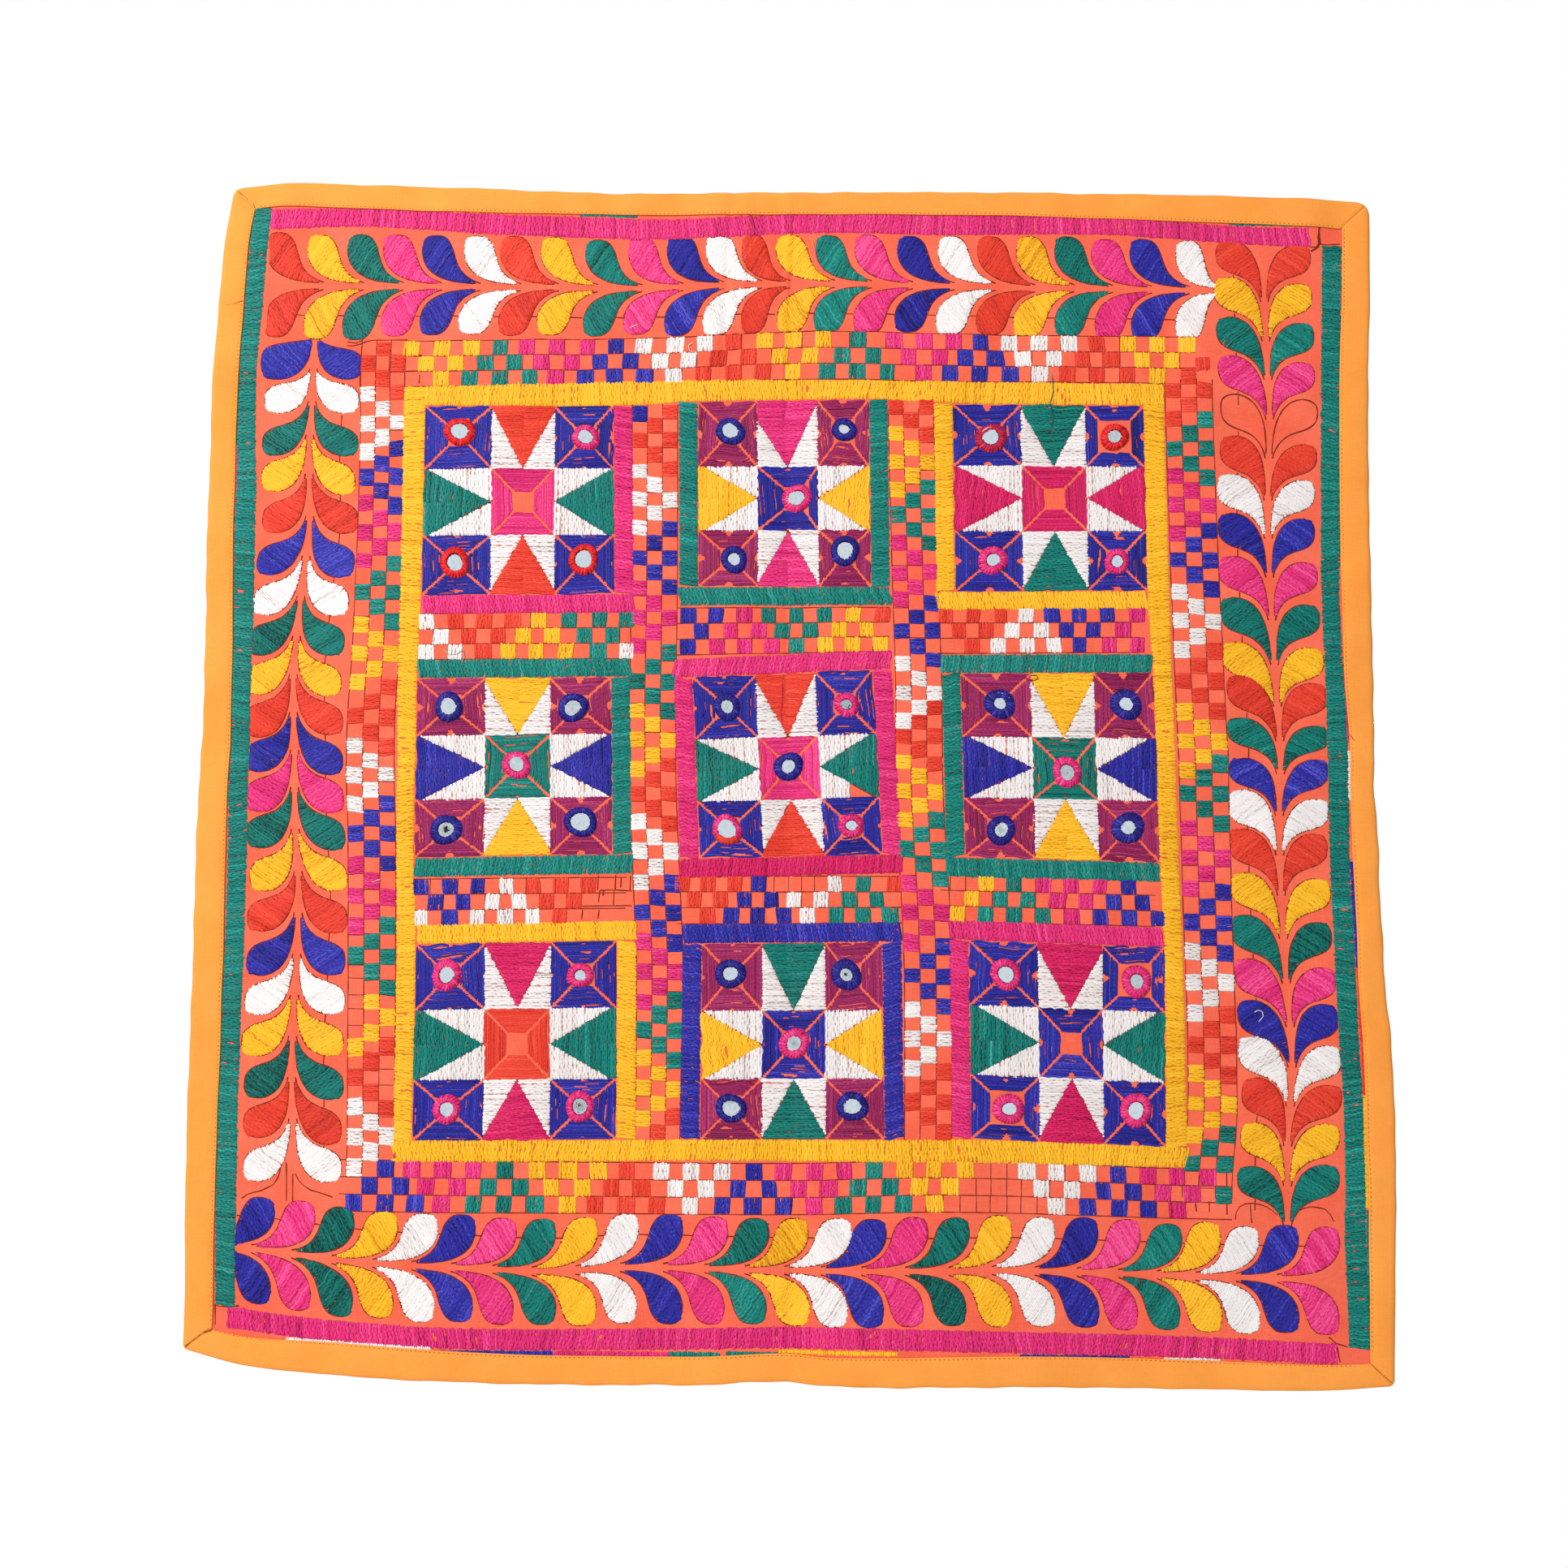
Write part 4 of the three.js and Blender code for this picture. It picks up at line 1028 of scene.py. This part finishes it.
# Bands of checks: upright, start, end, rows of (along, outer edge, inner edge), the flosses and the middles
# of the triangles, and whether the first of them is wide at the outer side. The first four bands are the
# outer ones, in the order top, left, right, bottom.
CHECK_BANDS = [
    (False, -262, 262, [(-250, 277.7, 246.5), (-100, 282.5, 251), (0, 289.5, 256.5), (100, 289.3, 257),
                        (200, 290, 258)],
     "yellow green pink blue white red yellow green pink blue white red yellow",
     (-239, -200, -163, -124, -85, -46, -6, 36, 80, 117.5, 156.5, 195, 235), True),
    (True, -268, 279, [(-250, -280, -250), (-128, -284.5, -254.3), (-50, -288.3, -257.3), (7, -291.8, -261),
                       (68, -290.5, -260), (150, -290, -260.5), (222, -291, -262), (250, -292, -263)],
     "red white blue pink green yellow red white blue pink green yellow red white",
     (262, 221.5, 185, 148, 108, 67.5, 26, -12, -50, -91, -129.5, -168, -205.5, -243), False),
    (True, -273, 266, [(-262, 280, 249), (-212, 283.5, 252.5), (-100, 281, 250), (0, 279.5, 247.5),
                       (150, 274, 242.5), (250, 271, 240)],
     "red green pink blue white red yellow green pink blue white red yellow green",
     (253.5, 214, 176, 139, 98, 58.5, 18.5, -15.5, -57.5, -98.5, -137, -176.5, -214, -251.5), False),
    (False, -284, 282, [(-200, -257.5, -289.5), (0, -255.5, -287.5), (100, -252, -284), (250, -255, -286)],
     "blue pink green yellow red white blue pink green yellow none white blue pink",
     (-255, -219.5, -180.5, -140.5, -103.5, -62.5, -23, 15.5, 53, 91.5, 132, 169, 208, 246), False),
    (True, -242, 240, [(-235, -98.4, -70.2), (-130, -100.2, -70.6), (-85, -103.2, -73.2), (0, -108.2, -78.2),
                       (120, -109.8, -79.8), (230, -112, -82)],
     "blue red white blue pink green yellow red white blue pink green yellow red",
     (250, 213, 173, 134, 94, 52, 14, -21.5, -59, -98.5, -136, -173, -210, -247), True),
    (True, -242, 244, [(-200, 72, 102), (-134, 71, 101.5), (-80, 68.3, 99.2), (-18, 64.5, 95),
                       (50, 63.8, 93.8), (120, 61, 91), (230, 57, 87)],
     "red yellow green pink blue white red yellow green pink blue white red",
     (239, 201.5, 166, 127.5, 88.5, 47.5, 19.5, -17, -54.5, -95.5, -136, -176, -215.5), False),
    (False, -248, -109, [(-248, 94, 64), (-109, 98, 67)],
     "white red yellow green white",
     (-242.5, -205, -170, -130.5, -93.5), False),
    (False, -79, 60, [(-79, 101, 70), (60, 104, 75)],
     "blue pink green yellow red",
     (-72, -35, -1.5, 35.5, 72.5), True),
    (False, 91, 229, [(91, 104, 74), (229, 107, 77)],
     "red white blue pink",
     (113.5, 149, 183.5, 221), True),
    (False, -246, -103, [(-246, -79.3, -109.3), (-103, -75.6, -105.6)],
     "white blue white red",
     (-256.8, -221, -185, -150.3), False),
    (False, -75, 70, [(-75, -74.2, -105.2), (70, -72.2, -102.2)],
     "red blue white green red",
     (-55.5, -23.5, 8.7, 44.5, 82), True),
    (False, 94, 237, [(98, -70.7, -100.7), (237, -71.7, -101.7)],
     "yellow green pink blue",
     (105, 141, 178, 214.5), True),
]
# Squares of the bands that were never stitched: (band, triangle, row, step from the triangle's middle).
UNSTITCHED = {(2, 13, 1, -1), (10, 2, 0, -2), (10, 2, 0, 0), (11, 0, 0, 0), (1, 11, 0, 0), (1, 11, 0, 2),
              (1, 12, 2, 0)}
CHECK_HALF = 0.52          # half a square's length, as a share of the squares' spacing
LINE_SHOWS = 0.4           # share of the squares' ends where the drawn line shows


def check_band(number, upright, start, end, rows, flosses, middles, wide_first):
    """Triangles of small stitched squares, pointing in and out by turns, with the drawn net between them."""
    rows = np.array(rows, float)
    pitch = abs(middles[-1] - middles[0]) / (4 * (len(middles) - 1))

    def spot(along, share):
        outer, inner = through(rows[:, [0, 1]], along), through(rows[:, [0, 2]], along)
        return placed(along, outer + (inner - outer) * share, upright)

    for order, (floss, middle) in enumerate(zip(flosses.split(), middles)):
        wide_outside = (order % 2 == 0) == wide_first
        for r in range(3):
            reach = 2 - r if wide_outside else r
            for c in range(-reach, reach + 1, 2):
                at = middle + c * pitch
                if at < start + 2 or at > end - 2:
                    continue
                half = pitch * (CHECK_HALF + 0.025 * rng.normal())
                along = np.linspace(at - half, at + half, 6) + rng.normal(0, 0.3)
                bare = floss == "none" or (number, order, r, c) in UNSTITCHED
                if not bare:
                    fill(floss, spot(along, r / 3), spot(along, (r + 1) / 3), pitch=1.2, trim=0.1,
                         lean=0.5 * rng.normal(), wave=0.44, height=0.62, tone=0.05 * rng.normal())
                # The lines at the squares' ends are the drawn pattern and painted shadow between thread ends.
                for edge in (at - half, at + half):
                    if bare or rng.random() < LINE_SHOWS:
                        draw(spot(np.array([edge, edge]), np.array([r / 3, (r + 1) / 3])), 0.55)
    for share in (0, 1 / 3, 2 / 3, 1):
        draw(spot(np.arange(start, end, 6.0), share), 0.65)


def steady(size):
    """Rows of one size for all the pairs of a vine."""
    return [(0, size), (1, size)]


# Leaf vines: upright, way the tips point, midrib (along, cross), tips (number of the pair, place), flosses,
# side with the drawn ticks, sizes, and the place along that no leaf runs past. The sizes are for the leaves
# below or left of the midrib and for those above or right of it: rows of (number of the pair, reach out) and
# rows of (number of the pair, reach back).
VINES = [
    (False, 1, [(-340, 315), (-290, 315), (-150, 316), (-100, 317), (-50, 320), (0, 322), (270, 322)],
     [(0, -321), (2, -267.5), (4, -216.5), (5, -189.5), (7, -138.5), (8, -109), (11, -29.5), (12, -11),
      (13, 19), (14, 43.5), (17, 126), (20, 204), (22, 255), (23, 275.5)],
     "red yellow green pink blue white " * 4, -1,
     (([(0, 1.08), (2, 1.12), (4, 1.02)], steady(0.98)), (steady(1.06), steady(0.97))), -355.5),
    (True, 1, [(-240, -315), (-200, -317.5), (-90, -318), (-50, -322), (-20, -324), (20, -326.5), (60, -328),
               (110, -325), (150, -322), (200, -324), (270, -323.5)],
     [(0, 278), (3, 211.5), (5, 157), (8, 77), (10, 26.5), (12, -22.5), (14, -77), (17, -156), (20, -234)],
     "blue white green yellow red blue white green yellow red blue pink green yellow red blue white yellow "
     "green red white", 1,
     (([(0, 1.09), (1, 1.0), (2, 0.96), (3, 0.96)], steady(1.0)), (steady(0.97), steady(1.0))), -400),
    (True, -1, [(-285, 315), (-240, 315), (-190, 318), (-130, 315), (-100, 313.5), (-45, 312), (20, 313),
                (60, 311), (110, 308.5), (170, 307), (240, 309), (260, 308), (320, 306)],
     [(0, 316), (3, 236), (4, 209.5), (5, 181), (7, 129.5), (10, 44), (12, -0.5), (13, -27.5), (15, -79),
      (18, -163), (20, -213), (23, -288)],
     "red yellow green pink none red white blue pink green yellow red green blue white red yellow green pink "
     "blue white red yellow green", -1,
     (([(0, 1.0), (20, 1.0), (22, 0.88), (23, 0.97)], [(0, 1.08), (20, 1.08), (22, 1.0), (23, 0.94)]),
      (steady(0.96), steady(0.98))), -400),
    (False, -1, [(-340, -314), (-310, -317), (-270, -321), (-190, -324), (-150, -325), (-100, -322),
                 (0, -322), (100, -320.5), (140, -319.5), (250, -321.5), (310, -322)],
     [(0, -363), (4, -260), (6, -210.5), (7, -184.5), (8, -160), (11, -77.5), (14, -1), (15, 22), (16, 47.5),
      (19, 129.5), (22, 209.5), (24, 258.5), (26, 309.5)],
     "blue pink green yellow white " * 5 + "blue pink", 1,
     ((steady(1.04), steady(1.0)), (steady(1.0), steady(1.0))), -348.5),
]
# Pairs of leaves that are squeezed short: (upright, way, number of the pair) and, for the leaf on each side
# of the midrib, the share of its front and back edges that is kept.
CROWDED = {
    (True, 1, 0): ((0.14, 0.72), (0.36, 0.72)), (True, 1, 1): ((0.55, 0.8), (0.55, 0.8)),
    (True, -1, 12): ((0.92, 0.88), (0.9, 0.89)), (True, -1, 13): ((0.95, 0.85), (0.95, 0.93)),
    (True, -1, 14): ((0.95, 0.98), (0.95, 0.94)), (False, 1, 23): ((0.6, 0.82), (0.6, 0.82)),
}
FULL_PAIR = ((1.0, 1.0), (1.0, 1.0))
# A leaf's two edges from its tip to the far corner of its head: (out from the midrib, back from the tip).
LEAF_FRONT = [(2.6, 0), (4.9, 5.4), (8.3, 10.2), (13, 13.9), (18.5, 16.2), (24, 18), (28.3, 20.2),
              (31.2, 23.2), (32.3, 26.5), (32.5, 30), (32.3, 32.8), (31.2, 35), (28.5, 37)]
LEAF_BACK = [(2.2, 0.2), (2.1, 4.5), (2.5, 10), (3.3, 16.5), (4.7, 22.3), (6.9, 27.5), (10, 32.2),
             (14.5, 35.8), (19.5, 37.7), (24.5, 38), (28.5, 37)]
LEAF_LENGTH = 56           # of the run of a leaf's threads, tip to head
# The line drawn round a leaf, which stands for the drawn pattern and for the painted shadow between the
# thread ends: its start, the leaf's middle, and how far outside the leaf it lies.
LEAF_START, LEAF_HEART, LINE_OUT = (2.5, -1.4), (15, 24.0), 0.15
LEAF_TICK = ((20.5, 20.2), (8.0, 17.0))    # a line drawn between two pairs: out, back
ROOM, LEAST_ROOM = 23, 0.8         # spacing of pairs that leaves need, and the share they shrink to for less
# How much darker or lighter than the floss its leaves are, partly painted shade and sheen of their threads'
# angle to the light, and how far one leaf differs from the next.
LEAF_TONES = {"green": -0.18, "yellow": -0.05, "blue": -0.06, "red": -0.08, "pink": 0.08, "white": 0.08}
LEAF_SPREAD = {"green": 0.12, "white": 0.03}
OTHER_SPREAD = 0.07


def rounded(points, count, power=1.0):
    """Points along a smooth curve through the given ones, evenly spread, or by a power closer at the end."""
    points = np.array(points, float)
    at = np.arange(len(points))
    fine = np.linspace(0, len(points) - 1, 80)
    curve = np.column_stack([through(np.column_stack([at, column]), fine) for column in points.T])
    return places_along(curve, ((np.arange(count) + 0.5) / count) ** power)


def leaf(floss, spot, size, side, short, pitch=1.3):
    """A comma leaf: threads cross from its hollow front edge to its full back edge, bowed to the head."""
    size = np.array(size) * rng.normal(1, 0.02, 2)
    count = int(LEAF_LENGTH * size.mean() * (0.4 + 0.6 * short[1]) / pitch)

    def front_edge(places):
        edge = rounded(LEAF_FRONT, places) * size
        edge[:, 1] *= short[0] + (short[1] - short[0]) * np.linspace(0, 1, places) ** 3
        return edge

    back_size = size * (1, short[1])
    front, back = front_edge(count), rounded(LEAF_BACK, count, 0.92) * back_size
    if floss != "none":
        at = np.arange(count)
        # Bands of painted light and shade along a leaf, from its threads' changing direction.
        patches = 0.045 * np.sin(at / rng.uniform(2.0, 4.0) + rng.uniform(0, 6))
        patches = patches + LEAF_SPREAD.get(floss, OTHER_SPREAD) * rng.normal()
        wave = 0.26 if floss == "white" else 0.3
        sew(floss, spot(front), spot(back), width=pitch * COVER, height=0.55, wave=wave, sway=0.5 * side,
            bow=0.6 * side * (1 - (at / count) ** 3), tone=patches + LEAF_TONES.get(floss, 0))
    # The line round the leaf: drawn pattern, and painted shadow between the thread ends.
    rim = np.concatenate([[LEAF_START], front_edge(20), rounded(LEAF_BACK, 19)[::-1] * back_size])
    away = rim - np.array(LEAF_HEART)
    draw(spot(rim + away * (LINE_OUT / lengths(away))[:, None]), 0.95)


def vine(row, bar, band):
    """Pairs of leaves along a midrib that was left bare, kept between the bar and the checks at its sides."""
    upright, way, midrib, tips, flosses, tick_side, sizes, first = row
    limits = [np.array(bar[3], float)[:, [0, 2]], np.array(band[3], float)[:, [0, 1]]]
    for k, floss in enumerate(flosses.split()):
        tip = through(tips, k)

        def spot(out, back):
            along = np.maximum(tip - way * back, first)
            edges = [through(rows, along) for rows in limits]
            low, high = np.minimum(*edges) + 0.5, np.maximum(*edges) - 0.5
            return placed(along, np.clip(through(midrib, along) + out, low, high), upright)

        shorts = CROWDED.get((upright, way, k), FULL_PAIR)
        squeeze = np.clip(abs(tip - through(tips, k - 1)) / ROOM, LEAST_ROOM, 1) if k else 1.0
        for side, size, short in zip((-1, 1), sizes, shorts):
            turned = side * way * (1 if upright else -1)
            size = (through(size[0], k), through(size[1], k) * squeeze)
            leaf(floss, lambda p: spot(p[:, 0] * side, p[:, 1]), size, turned, short)
        tick_out, tick_back = np.array(LEAF_TICK)
        draw(spot(tick_out * tick_side, tick_back), 0.8)


# Lines drawn on bare places of the cloth: at its corners and at the ends of some bands.
BARE_LINES = [
    [(343.5, 355), (347, 354.5), (357, 355.5)],
    [(-302, 273.8), (-298, 273.5), (-293, 275), (-287, 277.8), (-280, 278), (-262, 278.5)],
    [(-302, 276.5), (-296, 275.5), (-292, 277.5), (-290, 281)], [(-292, 274), (-292.3, 246)],
    [(-273.4, 274), (-273.6, 257)], [(-263, 257), (-262.7, 247)], [(-253, 254.5), (-253.2, 248.5)],
    [(-292, 257), (-263, 256.8), (-247, 257.2)], [(-274, 268), (-262, 267.6), (-252, 268.2)],
    [(336.5, 353), (343, 352.8)], [(350, 370), (350, 366)],
    [(-361, -350), (-352, -350.6), (-346, -350)], [(-360.5, -349), (-360, -362)],
    [(-352, -363), (-350, -352)], [(-347, -349.5), (-345, -350)],
    [(340, -357.5), (343, -360), (345, -361.5), (352, -363.5)], [(345, -361.5), (347, -373)],
    [(-318.5, -260), (-318, -268), (-317.5, -284)], [(-314, -267), (-313.5, -284)],
    [(-322, -262), (-322.5, -268), (-326, -274), (-334, -278), (-342, -280), (-346, -283)],
    [(-312.5, -267), (-309, -273), (-302, -277), (-294, -279), (-288, -281)],
    [(282, -286), (283, -279), (288, -276), (295, -275.5), (303, -278), (309, -283)],
    [(318, -284), (322, -279), (330, -277), (338, -278), (342, -282), (344, -286)],
    [(257.2, -276.4), (257.8, -281.5)], [(265.8, -275), (265.9, -281.5)], [(276.7, -256), (276.9, -283)],
    [(291.5, -276), (292.5, -288)],
    [(-126.2, -74.8), (-126.4, -84.2)], [(-115, -74.5), (-115.1, -84)], [(-111.4, -75.5), (-111.5, -82.5)],
    [(-105.4, -74.8), (-105.6, -84)], [(-125, -84.8), (-125.5, -92)], [(-122.6, -84.6), (-122.8, -88)],
    [(-115.8, -84.6), (-115.9, -93.6)], [(-135.6, -97), (-136, -103.5)], [(-125, -97), (-125.6, -103)],
    [(-125, -84.5), (-116, -84), (-104, -84.6)], [(-136, -95), (-120, -94.3), (-104, -94)],
]
# A broad dark line in the upper right corner.
DARK_CORNER = [(343.5, 368), (342.6, 361), (343.5, 356), (341, 352), (337.5, 350)]
# The edges of a red square that stands alone beside the right vine.
LONE_SQUARE = ([(260, 276), (269, 276.5)], [(260.3, 266.5), (269.5, 267)])

# Loose thread ends: floss and the places they wander through.
LOOSE_ENDS = [
    ("grey", [(-231, 71), (-227, 67.5), (-222, 68), (-218, 70.5), (-217, 66), (-219, 61)]),
    ("green", [(165, 262), (166, 252), (164, 243), (166, 234), (165, 228)]),
    ("white", [(-73, 280), (-76, 278), (-75, 274), (-72, 273)]),
    ("white", [(-115, 289), (-112, 290.5), (-110, 291.5)]),
    ("white", [(-271, -82), (-268, -80.5), (-266, -80)]),
    ("blue", [(-67, 50), (-70, 48), (-69, 45), (-65, 44), (-63, 38), (-60, 33), (-62, 29)]),
    ("yellow", [(3, 354), (5, 352), (6, 348)]),
    ("white", [(294.5, -155.5), (297, -154), (299.5, -155), (300, -158), (297, -161.5)]),
    ("plum", [(147, 60), (150, 57.5), (154, 57), (156.5, 58.5), (155, 60.5), (151, 60.5)]),
    ("crimson", [(-10, 27), (-10.5, 34), (-9.8, 44), (-10.2, 53)]),
]


def embroider():
    """All the stitches and drawn lines, block by block, then bars, checks and vines."""
    for number, row in enumerate(BLOCKS, 1):
        star_block(number, row)
    for bar in LONG_BARS:
        long_bar(*bar)
    for floss, upright, start, end, near, near_end, width in SLIPS:
        edges = [placed([start, end], [near + off, near_end + off], upright) for off in (0, width)]
        fill(floss, *edges, pitch=1.2, trim=0.0, wave=0.0, height=0.35)
    for number, band in enumerate(CHECK_BANDS):
        check_band(number, *band)
    for row, bar, band in zip(VINES, LONG_BARS, CHECK_BANDS):
        vine(row, bar, band)
    fill("red", *LONE_SQUARE, pitch=1.25, wave=0.3)
    for line in BARE_LINES:
        draw(line, 0.8)
    draw(DARK_CORNER, 1.8)
    for floss, path in LOOSE_ENDS:
        path = np.array(path, float)
        sew(floss, path[:-1], path[1:], width=0.55, height=0.5, lift=0.75, wave=0.0, stray=0.0)


def ink_and_shadow_piece():
    """Drawn lines, and the painted shadows at stitched edges, as thin ribbons just off the cloth, each point
    pushed aside by half the line's width.
    """
    points, faces, first = [], [], 0
    for path, width in ink_and_shadow_lines:
        way = np.gradient(path, axis=0)
        way = way / (lengths(way)[:, None] + 1e-9)
        aside = quarter_turn(way) * (width / 2) * rng.uniform(0.6, 1.2, (len(path), 1))
        points.append(np.stack([path + aside, path - aside], axis=1).reshape(-1, 2))
        faces.append(first + net_faces(len(path), 2))
        first += 2 * len(path)
    flat = np.concatenate(points)
    return make_piece("drawn_lines_and_edge_shadows", lay(flat[:, 0], flat[:, 1], INK_LIFT), np.concatenate(faces), ink_and_edge_shadow)


MIRROR_SIDES = 20
MIRROR_LARGEST = 7.4       # radius
MIRROR_TILT = 0.012
# From a mirror's middle over its rim: (share of the radius, lift off the cloth, share of the painted black
# reflection).
MIRROR_SECTION = [(0.02, 1.7, 1.0), (0.6, 1.7, 0.2), (1.0, 1.65, 0.0), (1.0, 1.0, 0.0)]


def mirrors_piece():
    """Round mirrors, each of rings of faces round its middle with a short rim under the ring, tipped."""
    turn = np.arange(MIRROR_SIDES + 1) / MIRROR_SIDES * 2 * math.pi
    points, faces, values, first = [], [], [], 0
    for (x, z, window, outer), (grey, black) in mirror_places:
        radius = np.clip(outer * 0.92 - 1.5, window + 0.6, MIRROR_LARGEST)
        middle = lay(x, z, 0)
        tilt = rng.normal(0, MIRROR_TILT, 2)
        rings = []
        for share, lift, _ in MIRROR_SECTION:
            dx, dz = np.cos(turn) * radius * share, np.sin(turn) * radius * share
            height = lift + dx * tilt[0] + dz * tilt[1]
            rings.append(middle + np.column_stack([dx, -height, dz]) * MM)
        points.append(np.concatenate(rings))
        values.append(np.repeat([grey + black * part for _, _, part in MIRROR_SECTION], MIRROR_SIDES + 1))
        faces.append(first + net_faces(len(rings), MIRROR_SIDES + 1))
        first += len(rings) * (MIRROR_SIDES + 1)
    return make_piece("mirrors", np.concatenate(points), np.concatenate(faces), mirror_glass,
                      values={"grey_and_reflection": np.concatenate(values)}, smooth=False)


cloth = ground_cloth()
bindings = {side: binding_strip(f"bound_{side}", side) for side in ("top", "bottom", "left", "right")}
embroider()
floss_pieces = []
for floss, parts in sewn.items():
    points, faces, maps, values = floss_arrays(np.concatenate(parts), np.concatenate(passes[floss]))
    floss_pieces.append(make_piece(f"stitches_{floss}", points, faces, floss_materials[floss], maps, values))
sewn.clear()
for side in bindings:
    for face in (1, -1):
        sew("seam_and_crease_shadow", *topstitch(side), width=0.65, height=face * 0.25, lift=face * 1.2, wave=0.0, stray=0.05,
            shortest=0.5)
# Painted shadow lines in the binding's folds, sewn with the machine stitches.
for path, width in BINDING_CREASE_SHADOWS:
    places = on_field(*np.array(path, float).T)
    sew("seam_and_crease_shadow", places[:-1], places[1:], width=width, height=0.16, lift=1.5, wave=0.0, stray=0.0)
points, faces, *_ = floss_arrays(np.concatenate(sewn["seam_and_crease_shadow"]))
seam_and_crease_shadow = make_piece("binding_topstitch_and_crease_shadows", points, faces, seam_and_crease_shadow_thread)
drawn = ink_and_shadow_piece()
mirrors = mirrors_piece()

for piece in (cloth, *bindings.values(), *floss_pieces, seam_and_crease_shadow, drawn, mirrors):
    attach(piece, "root")
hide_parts("ground_cloth")
for side, piece in bindings.items():
    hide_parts(f"binding_{side}")
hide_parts(*[f"mirror_{number}_{place}" for number, row in enumerate(BLOCKS, 1)
                       for place, _ in zip(MIRROR_NAMES, row["mirrors"])])


# Studio: pale floor, white surroundings, two soft lights, and the photograph's viewing angle. In metres.
AMBIENT = 0.42
FLOOR, FLOOR_REACH = -1.35, 1.75
FLOOR_FULL = 0.6           # from its middle, where the paper starts to fade
# Lights: name, place, size, power. They point at the hanging's middle.
LIGHTS = [("soft_key", (-1.5, -2.0, 0.75), 0.9, 72.0), ("soft_back", (1.2, 2.1, 0.6), 1.2, 60.0)]
LIT = (0, 0, -0.39)
# Camera: what it looks at, how far away and how many degrees below it stands, and its tilt in degrees.
AIM, AWAY, BELOW, TILT = (-0.0033, 0.0, -0.3985), 1.4088, 6.85, 0.957


def floor_paper():
    """Pale paper that fades out towards the floor's edges."""
    material, shader = new_material("floor_paper", roughness=0.9, specular=0.1)
    shader.inputs["Base Color"].default_value = (0.9, 0.9, 0.9, 1)
    tree = material.node_tree
    away = add_node(tree, "VectorMath", add_node(tree, "TexCoord").outputs["Object"])
    away.operation = "LENGTH"
    full = spread(tree, away.outputs["Value"], math.hypot(FLOOR_REACH, FLOOR), math.hypot(FLOOR_FULL, FLOOR))
    tree.links.new(full, shader.inputs["Alpha"])
    return material


def studio():
    """The surroundings, floor, lights and camera."""
    scene = bpy.context.scene
    scene.view_settings.view_transform = "Standard"
    world = bpy.data.worlds.new("studio_white")
    scene.world = world
    world.use_nodes = True
    tree = world.node_tree
    shade = tree.nodes["Background"]
    shade.inputs["Color"].default_value = (1, 1, 1, 1)
    rays = add_node(tree, "LightPath").outputs
    seen = math_node(tree, "MULTIPLY", rays["Is Glossy Ray"], 0.75)
    seen = math_node(tree, "MAXIMUM", rays["Is Camera Ray"], seen)
    level = add_node(tree, "MapRange", seen, To_Min=AMBIENT, To_Max=1.0)
    tree.links.new(level.outputs[0], shade.inputs["Strength"])
    mesh = bpy.data.meshes.new("studio_floor")
    corners = [(across * FLOOR_REACH, deep * FLOOR_REACH, FLOOR)
               for across, deep in ((-1, -1), (1, -1), (1, 1), (-1, 1))]
    mesh.from_pydata(corners, [], [(0, 1, 2, 3)])
    floor = bpy.data.objects.new("studio_floor", mesh)
    floor.data.materials.append(floor_paper())
    scene.collection.objects.link(floor)
    for name, place, size, power in LIGHTS:
        lamp = bpy.data.lights.new(name, "AREA")
        lamp.shape, lamp.size, lamp.energy = "SQUARE", size, power
        light = bpy.data.objects.new(name, lamp)
        light.location = place
        light.rotation_euler = (Vector(LIT) - light.location).to_track_quat("-Z", "Y").to_euler()
        light.visible_camera = False
        scene.collection.objects.link(light)
    camera_data = bpy.data.cameras.new("camera")
    camera_data.lens, camera_data.sensor_width = 50.0, 36.0
    camera = bpy.data.objects.new("camera", camera_data)
    aim, below = Vector(AIM), math.radians(BELOW)
    camera.location = aim + AWAY * Vector((0, -math.cos(below), -math.sin(below)))
    turn = (aim - camera.location).to_track_quat("-Z", "Y") @ Quaternion((0, 0, 1), math.radians(TILT))
    camera.rotation_euler = turn.to_euler()
    scene.collection.objects.link(camera)
    scene.camera = camera


studio()
